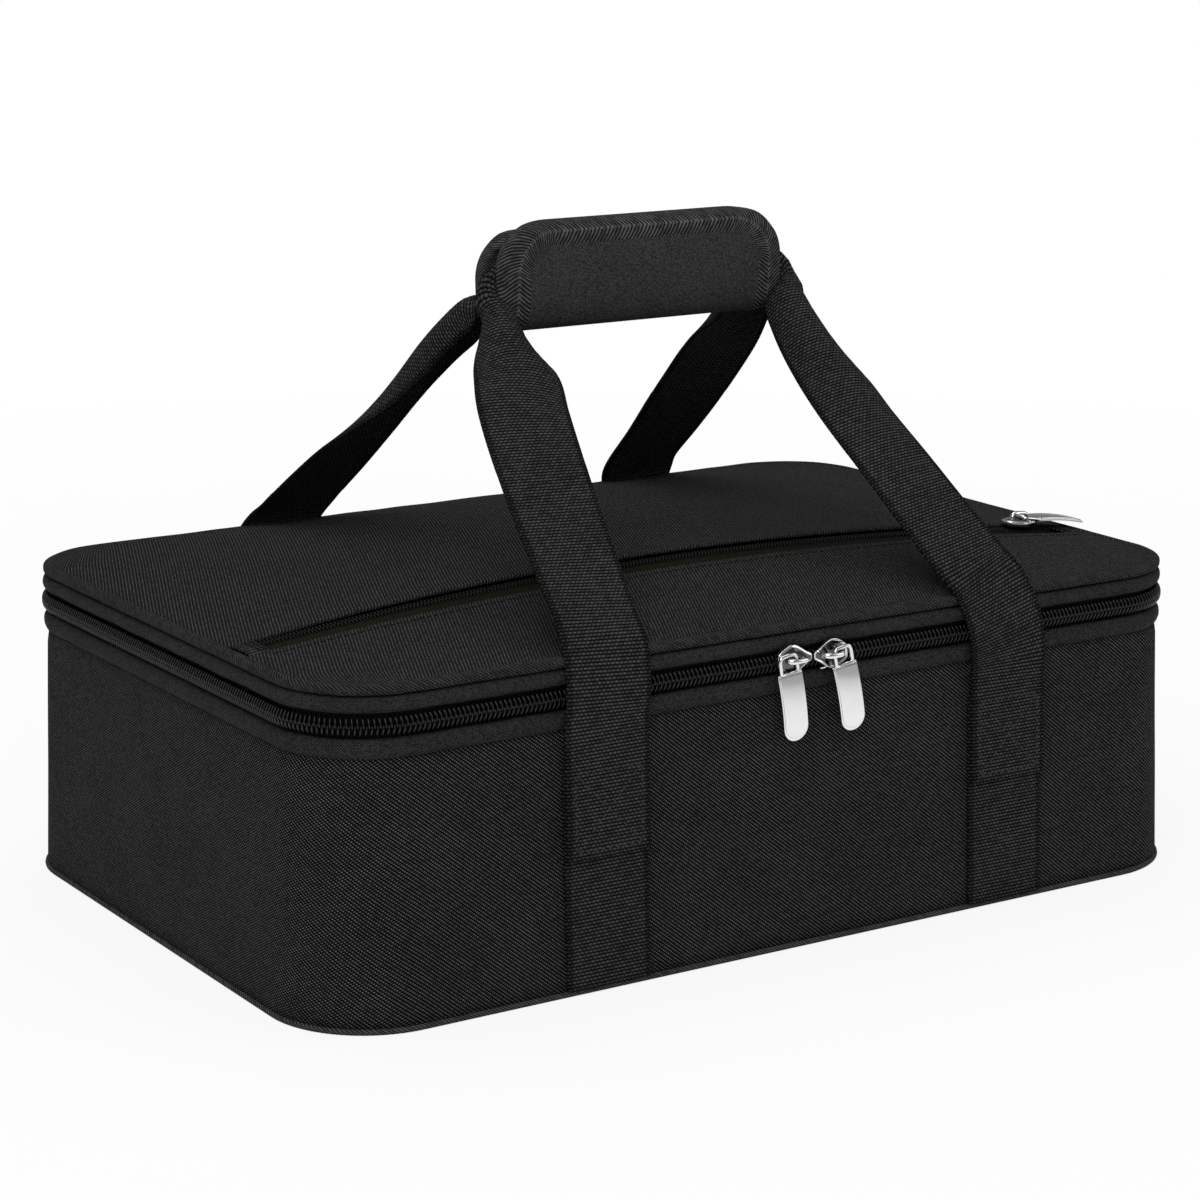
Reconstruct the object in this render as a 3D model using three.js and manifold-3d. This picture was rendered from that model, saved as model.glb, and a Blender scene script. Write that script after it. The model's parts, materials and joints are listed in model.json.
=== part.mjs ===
// Casserole carrier: a padded fabric case with a zipped lid, two webbing handles and a wrap grip.
// Millimetres, +Z up, +X along the length, +Y to the back.
// The origin is the middle of the base, on the surface that the carrier stands on.

import * as THREE from 'three';
import { mergeVertices } from 'three/addons/utils/BufferGeometryUtils.js';
import loadManifold from 'manifold-3d';

// Case
const LENGTH = 420; // outside of the rim, along X
const DEPTH = 280; // outside of the rim, along Y
const CORNER_RADIUS = 38; // rim corners, seen from above
const WALL_SPLAY = 4; // how far the base stands out past the rim, all round
const WALL_TOP = 107; // seam between the side wall and the rim bead
const FABRIC = 1.2; // outer cloth
const FOAM = 5; // wall and floor padding
const BOARD = 2; // stiffener in the base
const LINER = 0.8; // wipe-clean film
const LINER_DRAFT = 0.6; // the liner tub narrows this much, all round, towards its floor
const PIPING_RADIUS = 1.1; // cord round the base edge
const SEAM_GAP = 0.3; // between layers that are sewn face to face

// Rim, main zip and lid edge, listed from the bottom up
const RIM_BEAD_HEIGHT = 6.1;
const LOWER_GROOVE = 1.8; // between the rim bead and the coil
const COIL_ROW_HEIGHT = 2.85;
const COIL_PARTING = 0.3; // between the two rows of the coil
const UPPER_GROOVE = 2.8; // between the coil and the lid bead
const LID_BEAD_HEIGHT = 5.4;
const LID_BINDING_HEIGHT = 3.8;
const BEAD_PROUD = 1.4; // how far a bead stands out past the rim outline
const BEAD_DEPTH = 4.5; // how far a bead reaches in from the rim outline
const BINDING_PROUD = 1;
const BINDING_DEPTH = 2.5;
const RIM_TRIM_WIDTH = 2.8; // binding over the raw edges inside the rim
const TAPE = 0.8; // zip tape
const TAPE_INSET = 0.8; // outer face of the main tape, in from the rim outline
const COIL_THICKNESS = 2.5;

// Lid
const LID_CROWN = 14.5; // rise of the lid's middle above its edge
const CROWN_POWER = 2.5; // flatness of the crown across the depth
const LID_FOAM = 6;
const POCKET_CLOTH = 0.6; // pocket lining and pocket tape
const POCKET_Y = -59; // line of the pocket coil
const POCKET_COIL_WIDTH = 5.6;
const POCKET_COIL_HEIGHT = 1.8;
const POCKET_REAR_LIP = 0.7; // rear panel's edge, from the coil
const POCKET_FRONT_LIP = 11.2; // bare tape between the coil and the front panel
const POCKET_TAPE_HEM = 8; // tape hidden under each panel
const POCKET_COIL_INSET = 14; // coil's ends, in from the rim outline
const POCKET_TAB_LENGTH = 9;

// Webbing handles
const WEBBING = 1.8; // thickness
const WEBBING_WIDTH = 38;
const HANDLE_SHIFT = 7.5; // the handles sit this far to +X
const LEG_SPACING = 196; // between the middles of a handle's two legs
const BOX_STITCH_DROP = 15; // top of the sewn patch, below the wall's top seam
const BOX_STITCH_HEIGHT = 37;
const LEG_BEND_REACH = 10; // length over which a leg bends at the lid's edge
const LEG_FULL_SHARE = 0.7; // share of a leg, from that bend, that keeps its full width
const GRIP_WEB_WIDTH = 20; // webbing folded lengthwise inside the grip
const LEG_TURN = 12; // radius of the turn into the grip
const LEG_CLEARANCE = 0.5; // between the end of that turn and the grip

// Wrap grip
const GRIP_LENGTH = 138;
const GRIP_HEIGHT = 45;
const GRIP_DEPTH = 26;
const GRIP_RISE = 103; // underside of the grip above the lid's edge
const GRIP_Y = -9;
const GRIP_CORNER = 14;
const GRIP_LEAST_CORNER = 1; // inner corners of the binding, where it is wide
const PAD_TOP_WIDTH = 3.6; // top edge of a pad
const PAD_ROUND_DROP = 16; // a pad's outer face rounds in from this far below its top
const PAD_SHOULDER_DROP = 4.5; // middle of that rounding, below the top
const PAD_SHOULDER_INSET = 2.6; // and in from the outer face
const GRIP_BINDING_WIDTH = 11;
const GRIP_BINDING_PROUD = 0.6;
const GRIP_FOLD_RISE = 10.5; // height of the folded bottom
const GRIP_FOLD_THICKNESS = 5;
const CLOSURE_TAPE = 2; // hook tape and loop tape
const CLOSURE_HEIGHT = 9;

// Sliders and pulls
const SLIDER_LENGTH = 16.5;
const SLIDER_HEIGHT = 12.2;
const SLIDER_NOSE = 4; // height of the pointed end
const SLIDER_NOSE_CURVE = 6.6; // where its curve would meet a corner, ahead of the middle
const SLIDER_TAIL = 8.5; // height of the square end
const SLIDER_TAIL_CURVE = 4.1; // where its curve would meet a corner, behind the middle
const SLIDER_SHOULDER = 1; // widest part, behind the middle
const SLIDER_LIP = 8.2; // length of the lip under the coil
const SLIDER_PLATE = 2.4;
const SLIDER_CLEARANCE = 0.3; // between a slider and the coil
const SLIDER_LEFT_X = -3;
const SLIDER_RIGHT_X = 14.5;
const SLIDER_POCKET_INSET = 30; // parked pocket slider, in from the rim outline
const BRIDGE_SPAN = 9; // between the middles of the bridge's feet
const BRIDGE_WIDTH = 2.2;
const BRIDGE_BAR = 1.3;
const BRIDGE_FOOT = 2;
const PULL_WIDTH = 11.6;
const PULL_LENGTH = 33; // from the pivot to the tip
const PULL_PLATE = 1.5;
const PULL_PLAY = 0.45; // on each side of the plate, under the bridge
const PULL_NECK = 6.5; // from the pivot to the top of the tab
const LOOP_BAR = 1.6;
const LOOP_WIDTH = 9.6;
const LOOP_RISE = 1.7; // from the pivot to the loop's inner top
const LOOP_ROUND = 2.4; // height of the loop's rounded top
const PULL_LEFT_TILT = 8; // degrees from hanging straight, towards +X
const PULL_RIGHT_TILT = 11;
const PULL_POCKET_DROP = 3; // degrees below the slider's own plane

// Fineness of curves
const CORNER_STEPS = 6;
const LONG_SIDE_STEPS = 6;
const SHORT_SIDE_STEPS = 4;
const CROWN_RINGS = [0, 0.15, 0.38, 0.66, 0.92]; // from the edge to the middle
const BEND_STEPS = 4;
const BEAD_STEPS = 6;
const FOLD_STEPS = 4;
const PIPING_SIDES = 8;

// Heights that follow from the sizes above
const rimBeadBottom = WALL_TOP + SEAM_GAP;
const rimBeadTop = rimBeadBottom + RIM_BEAD_HEIGHT;
const lowerCoilBottom = rimBeadTop + LOWER_GROOVE;
const lowerCoilTop = lowerCoilBottom + COIL_ROW_HEIGHT;
const upperCoilBottom = lowerCoilTop + COIL_PARTING;
const upperCoilTop = upperCoilBottom + COIL_ROW_HEIGHT;
const lidBeadBottom = upperCoilTop + UPPER_GROOVE;
const lidBeadTop = lidBeadBottom + LID_BEAD_HEIGHT;
const lidBindingBottom = lidBeadTop + SEAM_GAP;
const lidEdge = lidBindingBottom + LID_BINDING_HEIGHT;
const boxTop = WALL_TOP - BOX_STITCH_DROP;
const boxBottom = boxTop - BOX_STITCH_HEIGHT;
const gripMiddle = lidEdge + GRIP_RISE + GRIP_HEIGHT / 2;
const clothLayer = FABRIC + SEAM_GAP; // outer cloth and the gap behind it
const floorFoamBottom = clothLayer + BOARD + SEAM_GAP;
const linerBottom = floorFoamBottom + FOAM + SEAM_GAP;
const linerTop = WALL_TOP - SEAM_GAP;
const coilOuter = COIL_THICKNESS - TAPE_INSET + SEAM_GAP;
const coilInner = coilOuter - COIL_THICKNESS;
const sliderMiddle = rimBeadTop + SEAM_GAP + SLIDER_HEIGHT / 2;

const wasm = await loadManifold();
wasm.setup();

const vec = (x, y, z) => new THREE.Vector3(x, y, z);

// Joins loops of equally many points into one closed body, each quad split along its shorter
// diagonal, so that layers of one shape have the same facets.
// The ends are capped, or joined to each other when the row of loops itself goes round.
function loft(loops, joined = false) {
  const count = loops[0].length;
  const points = loops.flat();
  const faces = [];
  const rows = joined ? loops.length : loops.length - 1;
  for (let row = 0; row < rows; row += 1) {
    const here = row * count;
    const there = ((row + 1) % loops.length) * count;
    for (let i = 0; i < count; i += 1) {
      const j = (i + 1) % count;
      const rising = points[here + i].distanceToSquared(points[there + j]);
      const falling = points[here + j].distanceToSquared(points[there + i]);
      if (rising < falling) {
        faces.push(here + i, here + j, there + j, here + i, there + j, there + i);
      } else {
        faces.push(here + i, here + j, there + i, here + j, there + j, there + i);
      }
    }
  }
  if (!joined) {
    const last = (loops.length - 1) * count;
    const middles = [loops[0], loops[loops.length - 1]].map((loop) =>
      loop.reduce((sum, p) => sum.add(p), vec(0, 0, 0)).divideScalar(count));
    points.push(...middles);
    for (let i = 0; i < count; i += 1) {
      const j = (i + 1) % count;
      faces.push(points.length - 2, j, i, points.length - 1, last + i, last + j);
    }
  }
  return outward(points, faces);
}

// Makes a geometry of points and triangles, turned so that its faces point out.
function outward(points, faces) {
  let volume = 0;
  for (let i = 0; i < faces.length; i += 3) {
    const [a, b, c] = faces.slice(i, i + 3).map((index) => points[index]);
    volume += a.dot(b.clone().cross(c));
  }
  const order = volume < 0 ? faces.slice().reverse() : faces;
  const geometry = new THREE.BufferGeometry().setFromPoints(points);
  geometry.setIndex(order);
  geometry.computeVertexNormals();
  return geometry;
}

function toSolid(geometry) {
  const bare = geometry.clone();
  bare.deleteAttribute('normal');
  bare.deleteAttribute('uv');
  const merged = mergeVertices(bare);
  return new wasm.Manifold(new wasm.Mesh({
    numProp: 3,
    vertProperties: new Float32Array(merged.attributes.position.array),
    triVerts: new Uint32Array(merged.index.array),
  }));
}

function fromSolid(solid) {
  const mesh = solid.getMesh();
  const geometry = new THREE.BufferGeometry();
  geometry.setAttribute('position', new THREE.BufferAttribute(mesh.vertProperties, mesh.numProp));
  geometry.setIndex(new THREE.BufferAttribute(mesh.triVerts, 1));
  geometry.computeVertexNormals();
  return geometry;
}

const union = (...parts) => fromSolid(parts.map(toSolid).reduce((a, b) => a.add(b)));
const cut = (part, tool) => fromSolid(toSolid(part).subtract(toSolid(tool)));
const keep = (part, tool) => fromSolid(toSolid(part).intersect(toSolid(tool)));

// A block between two corners.
function block(low, high) {
  const size = high.clone().sub(low);
  const middle = low.clone().add(high).multiplyScalar(0.5);
  return new THREE.BoxGeometry(size.x, size.y, size.z).translate(middle.x, middle.y, middle.z);
}

// Rim outline seen from above, grown by an offset. It starts at the left end of the straight rear
// side and goes round by the left, the front and the right to the other end of that side.
function outline(offset, longSteps = 1, shortSteps = 1) {
  const radius = CORNER_RADIUS + offset;
  const x = LENGTH / 2 - CORNER_RADIUS;
  const y = DEPTH / 2 - CORNER_RADIUS;
  const corners = [[-x, y], [-x, -y], [x, -y], [x, y]];
  const quarter = Math.PI / 2;
  const onCorner = ([cx, cy], angle) =>
    new THREE.Vector2(cx + radius * Math.cos(angle), cy + radius * Math.sin(angle));
  const points = [];
  corners.forEach((corner, index) => {
    const start = quarter * (index + 1);
    for (let step = 0; step <= CORNER_STEPS; step += 1) {
      points.push(onCorner(corner, start + quarter * step / CORNER_STEPS));
    }
    const next = onCorner(corners[(index + 1) % corners.length], start + quarter);
    const from = points[points.length - 1].clone();
    const steps = index % 2 ? longSteps : shortSteps;
    for (let step = 1; step < steps; step += 1) {
      points.push(from.clone().lerp(next, step / steps));
    }
  });
  return points;
}

const level = (offset, z) => outline(offset).map((p) => vec(p.x, p.y, z));

// A strip of constant section right round the case. The section is a list of [offset, height].
const band = (section) => loft(section.map(([offset, z]) => level(offset, z)), true);

// A strip of constant section that leaves the straight rear side open.
function zipRun(section) {
  const edges = section.map(([offset, z]) => level(offset, z));
  return loft(edges[0].map((_, station) => edges.map((edge) => edge[station])));
}

const rectangle = (inner, outer, bottom, top) => [
  [inner, bottom], [outer, bottom], [outer, top], [inner, top],
];

// Half-round section of a padded bead, sewn flat at the back.
function beadSection(bottom, height) {
  const section = [[-BEAD_DEPTH, bottom]];
  for (let step = 0; step <= BEAD_STEPS; step += 1) {
    const angle = Math.PI * (step / BEAD_STEPS - 0.5);
    section.push([BEAD_PROUD * Math.cos(angle), bottom + height / 2 * (1 + Math.sin(angle))]);
  }
  section.push([-BEAD_DEPTH, bottom + height]);
  return section;
}

// Offset of the side wall's outer face at a height, and the same as a distance from the middle.
const splay = (z) => WALL_SPLAY * (1 - z / WALL_TOP);
const wallFace = (z) => DEPTH / 2 + splay(z);

const flatPlate = (offset, bottom, thickness) =>
  loft([level(offset, bottom), level(offset, bottom + thickness)]);

// Lid surface

const crownHalfLength = LENGTH / 2 - BINDING_DEPTH;
const crownHalfDepth = DEPTH / 2 - BINDING_DEPTH;
const crownAcross = (y) => Math.max(0, 1 - Math.abs(y / crownHalfDepth) ** CROWN_POWER);

function lidSurface(x, y) {
  const along = Math.max(0, 1 - (x / crownHalfLength) ** 2);
  return lidEdge + LID_CROWN * along * crownAcross(y);
}

// A layer of the lid: inset from the rim outline, its top a given depth below the outer surface.
function lidLayer(inset, depth, thickness) {
  const edge = outline(-inset, LONG_SIDE_STEPS, SHORT_SIDE_STEPS);
  const spine = (LENGTH - DEPTH) / 2;
  const ring = (share, below) => edge.map((p) => {
    const x = THREE.MathUtils.lerp(p.x, THREE.MathUtils.clamp(p.x, -spine, spine), share);
    const y = p.y * (1 - share);
    return vec(x, y, lidSurface(x, y) - below);
  });
  const under = CROWN_RINGS.slice().reverse().map((share) => ring(share, depth + thickness));
  const over = CROWN_RINGS.map((share) => ring(share, depth));
  return loft([...under, ...over]);
}

// The stretch of a lid layer between two lines across the depth and two along the length.
const lidStrip = (layer, front, rear, left = -LENGTH, right = LENGTH) =>
  keep(layer, block(vec(left, front, 0), vec(right, rear, lidEdge + 2 * LID_CROWN)));

// Webbing

// A flat strip along stations, each with its middle, outward direction, width and thickness.
function ribbon(stations) {
  return loft(stations.map((station, index) => {
    const before = stations[Math.max(0, index - 1)].at;
    const after = stations[Math.min(stations.length - 1, index + 1)].at;
    const along = after.clone().sub(before).normalize();
    const across = along.clone().cross(station.out).normalize();
    const out = across.clone().cross(along);
    const side = across.multiplyScalar(station.width / 2);
    const face = out.multiplyScalar(station.thickness / 2);
    return [[1, 1], [-1, 1], [-1, -1], [1, -1]].map(([s, f]) =>
      station.at.clone().addScaledVector(side, s).addScaledVector(face, f));
  }));
}

// Middle plane of a webbing layer on the wall, counted from the cloth outwards.
const webbingLayer = (layer) => SEAM_GAP + WEBBING / 2 + layer * (WEBBING + SEAM_GAP);

// A straight piece of webbing sewn to the front (side -1) or rear (side 1) wall.
function sewnWebbing(side, x, layer, bottom, top) {
  const station = (z) => ({
    at: vec(x, side * (wallFace(z) + webbingLayer(layer)), z),
    out: vec(0, side, 0),
    width: WEBBING_WIDTH,
    thickness: WEBBING,
  });
  return ribbon([station(bottom), station(top)]);
}

const foldedWebbing = 2 * WEBBING;
const bundleHalf = SEAM_GAP + foldedWebbing; // both handles side by side in the grip

// One handle: up the wall, over the lid's edge, along the grip and down again.
function handle(side) {
  const wallY = side * (wallFace(boxTop) + webbingLayer(1));
  const gripY = GRIP_Y + side * (SEAM_GAP + foldedWebbing / 2);
  const legX = -LEG_SPACING / 2;
  const turnX = -(GRIP_LENGTH / 2 + LEG_TURN + LEG_CLEARANCE);
  const corner = vec(legX, wallY, lidEdge + LEG_BEND_REACH / 2);
  const gripTurn = vec(turnX, gripY, gripMiddle);
  const lean = vec(0, gripTurn.y - corner.y, gripTurn.z - corner.z).normalize();
  const upright = vec(0, side, 0);
  const leaning = vec(0, side * lean.z, Math.abs(lean.y));
  const full = { width: WEBBING_WIDTH, thickness: WEBBING };
  const folded = { width: GRIP_WEB_WIDTH, thickness: foldedWebbing };
  const bend = new THREE.QuadraticBezierCurve3(
    corner.clone().setZ(corner.z - LEG_BEND_REACH),
    corner,
    corner.clone().addScaledVector(lean, LEG_BEND_REACH),
  );
  const legEnd = gripTurn.clone().addScaledVector(lean, -LEG_TURN);
  const turn = new THREE.QuadraticBezierCurve3(legEnd, gripTurn, gripTurn.clone().setX(turnX + LEG_TURN));
  const half = [{ at: vec(legX, wallY, boxTop + SEAM_GAP), out: upright, ...full }];
  for (let step = 0; step <= BEND_STEPS; step += 1) {
    const share = step / BEND_STEPS;
    half.push({ at: bend.getPoint(share), out: upright.clone().lerp(leaning, share), ...full });
  }
  const waist = bend.v2.clone().lerp(legEnd, LEG_FULL_SHARE);
  half.push({ at: waist, out: leaning, ...full });
  for (let step = 0; step <= BEND_STEPS; step += 1) {
    const share = step / BEND_STEPS;
    half.push({ at: turn.getPoint(share), out: upright, ...folded });
  }
  const mirrored = half.slice().reverse().map((station) => ({
    ...station, at: vec(-station.at.x, station.at.y, station.at.z),
  }));
  const stations = [...half, ...mirrored];
  stations.forEach((station) => station.at.setX(station.at.x + HANDLE_SHIFT));
  return ribbon(stations);
}

// Wrap grip

const gripInner = bundleHalf + SEAM_GAP; // inner face of a pad, from the grip's middle plane
const gripOuter = GRIP_DEPTH / 2;
const gripTop = GRIP_HEIGHT / 2;
const gripFoldTop = GRIP_FOLD_RISE - gripTop; // where the pads end and the fold begins
const closureInner = CLOSURE_TAPE + 2 * SEAM_GAP;
const closureBottom = gripTop - CLOSURE_HEIGHT - 2 * SEAM_GAP;

// Section of one pad, as [distance from the middle plane, height], grown outwards by a little.
function padSection(grow) {
  const outer = gripOuter + grow;
  return [
    [gripInner, gripFoldTop + SEAM_GAP],
    [gripInner, closureBottom - CLOSURE_TAPE],
    [closureInner, closureBottom],
    [closureInner, gripTop],
    [closureInner + PAD_TOP_WIDTH, gripTop + grow],
    [outer - PAD_SHOULDER_INSET, gripTop - PAD_SHOULDER_DROP + grow],
    [outer, gripTop - PAD_ROUND_DROP],
    [outer, gripFoldTop + SEAM_GAP],
  ];
}

const axesAlongX = new THREE.Matrix4().makeBasis(vec(0, 1, 0), vec(0, 0, 1), vec(1, 0, 0));
const axesAlongY = new THREE.Matrix4().makeBasis(vec(1, 0, 0), vec(0, 0, 1), vec(0, -1, 0));

function prism(points, depth, axes) {
  const shape = new THREE.Shape(points.map(([u, v]) => new THREE.Vector2(u, v)));
  return new THREE.ExtrudeGeometry(shape, { depth, bevelEnabled: false }).applyMatrix4(axes);
}

// Front view of a pad with round upper corners, as a block through the grip's whole depth.
function padFace(inset) {
  const x = GRIP_LENGTH / 2 - inset;
  const top = gripTop + GRIP_BINDING_PROUD - inset;
  const bottom = -GRIP_HEIGHT;
  const radius = Math.max(GRIP_CORNER - inset, GRIP_LEAST_CORNER);
  const shape = new THREE.Shape();
  shape.moveTo(-x, bottom);
  shape.lineTo(x, bottom);
  shape.lineTo(x, top - radius);
  shape.absarc(x - radius, top - radius, radius, 0, Math.PI / 2);
  shape.lineTo(radius - x, top);
  shape.absarc(radius - x, top - radius, radius, Math.PI / 2, Math.PI);
  const through = 2 * GRIP_DEPTH;
  const face = new THREE.ExtrudeGeometry(shape, {
    depth: through, bevelEnabled: false, curveSegments: CORNER_STEPS,
  });
  return face.applyMatrix4(axesAlongY).translate(0, through / 2, 0);
}

const placeGrip = (geometry) => geometry.translate(HANDLE_SHIFT, GRIP_Y, gripMiddle);

const gripPrism = (section, side) => prism(
  section.map(([distance, z]) => [side * distance, z]), GRIP_LENGTH, axesAlongX,
).translate(-GRIP_LENGTH / 2, 0, 0);

const gripPad = (side) => placeGrip(
  keep(gripPrism(padSection(0), side), padFace(GRIP_BINDING_WIDTH + SEAM_GAP)),
);

const gripBinding = (side) => placeGrip(
  cut(keep(gripPrism(padSection(GRIP_BINDING_PROUD), side), padFace(0)), padFace(GRIP_BINDING_WIDTH)),
);

// One half of the wrap's folded bottom, a quarter-oval trough that ends at the line where it bends.
function gripFold(side) {
  const arc = (halfWidth, drop) => Array.from({ length: FOLD_STEPS + 1 }, (_, step) => {
    const angle = Math.PI / 2 * step / FOLD_STEPS;
    const distance = THREE.MathUtils.lerp(SEAM_GAP / 2, halfWidth, Math.cos(angle));
    return [distance, gripFoldTop - drop * Math.sin(angle)];
  });
  const outer = arc(gripOuter, GRIP_FOLD_RISE);
  const inner = arc(gripInner, GRIP_FOLD_RISE - GRIP_FOLD_THICKNESS).reverse();
  return placeGrip(gripPrism([...outer, ...inner], side));
}

function closureTape(side) {
  const near = SEAM_GAP;
  const far = near + CLOSURE_TAPE;
  const halfLength = GRIP_LENGTH / 2 - GRIP_BINDING_WIDTH;
  const bottom = closureBottom + SEAM_GAP;
  return placeGrip(block(
    vec(-halfLength, Math.min(side * near, side * far), bottom),
    vec(halfLength, Math.max(side * near, side * far), bottom + CLOSURE_HEIGHT),
  ));
}

// Sliders and pulls, drawn with X along the chain, Y across it and Z away from it

const bridgeRoom = PULL_PLATE + 2 * PULL_PLAY;

// A slider whose pointed nose is towards +X (direction 1) or -X (direction -1).
// On the main zip a lip reaches under the lower row of the coil.
function slider(direction, lip) {
  const x = direction * SLIDER_LENGTH / 2;
  const y = SLIDER_HEIGHT / 2;
  const shoulder = -direction * SLIDER_SHOULDER;
  const noseCurve = direction * SLIDER_NOSE_CURVE;
  const tailCurve = -direction * SLIDER_TAIL_CURVE;
  const shape = new THREE.Shape();
  shape.moveTo(-x, -SLIDER_TAIL / 2);
  shape.quadraticCurveTo(tailCurve, -SLIDER_TAIL / 2, shoulder, -y);
  shape.quadraticCurveTo(noseCurve, -y, x, -SLIDER_NOSE / 2);
  shape.lineTo(x, SLIDER_NOSE / 2);
  shape.quadraticCurveTo(noseCurve, y, shoulder, y);
  shape.quadraticCurveTo(tailCurve, SLIDER_TAIL / 2, -x, SLIDER_TAIL / 2);
  const plate = new THREE.ExtrudeGeometry(shape, {
    depth: SLIDER_PLATE, bevelEnabled: false, curveSegments: CORNER_STEPS,
  });
  const inner = BRIDGE_SPAN / 2 - BRIDGE_FOOT / 2;
  const outer = BRIDGE_SPAN / 2 + BRIDGE_FOOT / 2;
  const root = SLIDER_PLATE / 2;
  const room = SLIDER_PLATE + bridgeRoom;
  const top = room + BRIDGE_BAR;
  const arch = [
    [-outer, root], [-inner, root], [-inner, room], [inner, room],
    [inner, root], [outer, root], [outer, top], [-outer, top],
  ];
  const bridge = prism(arch, BRIDGE_WIDTH, axesAlongY).translate(0, BRIDGE_WIDTH / 2, 0);
  const parts = [plate, bridge];
  if (lip) {
    const lipTop = lowerCoilBottom - SLIDER_CLEARANCE - sliderMiddle;
    parts.push(block(vec(-SLIDER_LIP / 2, -y, -COIL_THICKNESS), vec(SLIDER_LIP / 2, lipTop, root)));
  }
  return union(...parts);
}

// A pull with its pivot at the origin, hanging towards -Y.
function pull() {
  const tab = PULL_WIDTH / 2;
  const loop = LOOP_WIDTH / 2;
  const tip = PULL_LENGTH - tab;
  const shape = new THREE.Shape();
  shape.moveTo(-tab, -PULL_NECK);
  shape.lineTo(-tab, -tip);
  shape.absarc(0, -tip, tab, Math.PI, 2 * Math.PI);
  shape.lineTo(tab, -PULL_NECK);
  shape.lineTo(loop, -PULL_NECK);
  const loopTop = LOOP_RISE + LOOP_BAR;
  shape.lineTo(loop, loopTop - LOOP_ROUND);
  shape.quadraticCurveTo(loop, loopTop, 0, loopTop);
  shape.quadraticCurveTo(-loop, loopTop, -loop, loopTop - LOOP_ROUND);
  shape.lineTo(-loop, -PULL_NECK);
  const inner = loop - LOOP_BAR;
  const innerRound = LOOP_ROUND - LOOP_BAR / 2;
  const hole = new THREE.Path();
  hole.moveTo(-inner, LOOP_BAR - PULL_NECK);
  hole.lineTo(inner, LOOP_BAR - PULL_NECK);
  hole.lineTo(inner, LOOP_RISE - innerRound);
  hole.quadraticCurveTo(inner, LOOP_RISE, 0, LOOP_RISE);
  hole.quadraticCurveTo(-inner, LOOP_RISE, -inner, LOOP_RISE - innerRound);
  shape.holes.push(hole);
  return new THREE.ExtrudeGeometry(shape, {
    depth: PULL_PLATE, bevelEnabled: false, curveSegments: CORNER_STEPS,
  });
}

// Materials

const material = (color, roughness, metalness = 0) =>
  new THREE.MeshStandardMaterial({ color, roughness, metalness });
const wallCloth = material(0x141417, 0.9);
const lidCloth = material(0x17171a, 0.9);
const webbingCloth = material(0x1b1b1f, 0.85);
const bindingCloth = material(0x1a1a1d, 0.85);
const beadCloth = material(0x19191c, 0.8);
const tapeCloth = material(0x15140f, 0.9);
const coilNylon = material(0x101012, 0.35);
const foam = material(0x3a3a3d, 1);
const board = material(0x2b2b2d, 0.6);
const linerFilm = material(0xb9bcc0, 0.3, 0.6);
const chrome = material(0xe6e6e8, 0.12, 1);
const closureNylon = material(0x1c1c1f, 0.95);

const carrier = new THREE.Group();

function add(name, geometry, finish, parent = carrier) {
  const mesh = new THREE.Mesh(geometry, finish);
  mesh.name = name;
  parent.add(mesh);
  return mesh;
}

// Case

add('side_wall_fabric', band([
  [splay(clothLayer), clothLayer],
  [splay(WALL_TOP), WALL_TOP],
  [splay(WALL_TOP) - FABRIC, WALL_TOP],
  [splay(clothLayer) - FABRIC, clothLayer],
]), wallCloth);
add('bottom_fabric', flatPlate(WALL_SPLAY, 0, FABRIC), wallCloth);

const pipingOffset = WALL_SPLAY + PIPING_RADIUS + SEAM_GAP;
const pipingHeight = PIPING_RADIUS + FABRIC / 2;
const pipingSection = Array.from({ length: PIPING_SIDES }, (_, side) => {
  const angle = 2 * Math.PI * side / PIPING_SIDES;
  return [pipingOffset + PIPING_RADIUS * Math.cos(angle), pipingHeight + PIPING_RADIUS * Math.sin(angle)];
});
add('base_piping', band(pipingSection), bindingCloth);

const floorOffset = splay(linerBottom) - clothLayer;
const foamOuter = splay(linerTop) - clothLayer;
const linerOuter = foamOuter - FOAM - SEAM_GAP;
const linerFoot = linerOuter - LINER_DRAFT;
add('base_board', flatPlate(floorOffset, clothLayer, BOARD), board);
add('floor_foam', flatPlate(floorOffset, floorFoamBottom, FOAM), foam);
add('wall_foam', band([
  [floorOffset, linerBottom],
  [foamOuter, linerTop],
  [foamOuter - FOAM, linerTop],
  [linerFoot + SEAM_GAP, linerBottom],
]), foam);

// The liner tub is welded from a floor, four flat walls and four round corners.
const straightHalf = LENGTH / 2 - CORNER_RADIUS;
const straightHalfDepth = DEPTH / 2 - CORNER_RADIUS;
const weldGap = SEAM_GAP / 2;
const linerWalls = band([
  [linerFoot, linerBottom],
  [linerOuter, linerTop],
  [linerOuter - LINER, linerTop],
  [linerFoot - LINER, linerBottom],
]);
const linerPart = (x0, x1, y0, y1) => keep(linerWalls, block(
  vec(Math.min(x0, x1), Math.min(y0, y1), 0),
  vec(Math.max(x0, x1), Math.max(y0, y1), WALL_TOP),
));
add('liner_floor', flatPlate(linerFoot - LINER - SEAM_GAP, linerBottom, LINER), linerFilm);
for (const [hand, turn] of [['left', -1], ['right', 1]]) {
  const sideEnd = straightHalfDepth - weldGap;
  add(`liner_${hand}_wall`, linerPart(0, turn * LENGTH, -sideEnd, sideEnd), linerFilm);
}
for (const [front, side] of [['front', -1], ['rear', 1]]) {
  const wallEnd = straightHalf - weldGap;
  add(`liner_${front}_wall`, linerPart(-wallEnd, wallEnd, 0, side * DEPTH), linerFilm);
  for (const [hand, turn] of [['left', -1], ['right', 1]]) {
    add(`liner_${front}_${hand}_corner`, linerPart(
      turn * (straightHalf + weldGap), turn * LENGTH,
      side * (straightHalfDepth + weldGap), side * DEPTH,
    ), linerFilm);
  }
}

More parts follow.
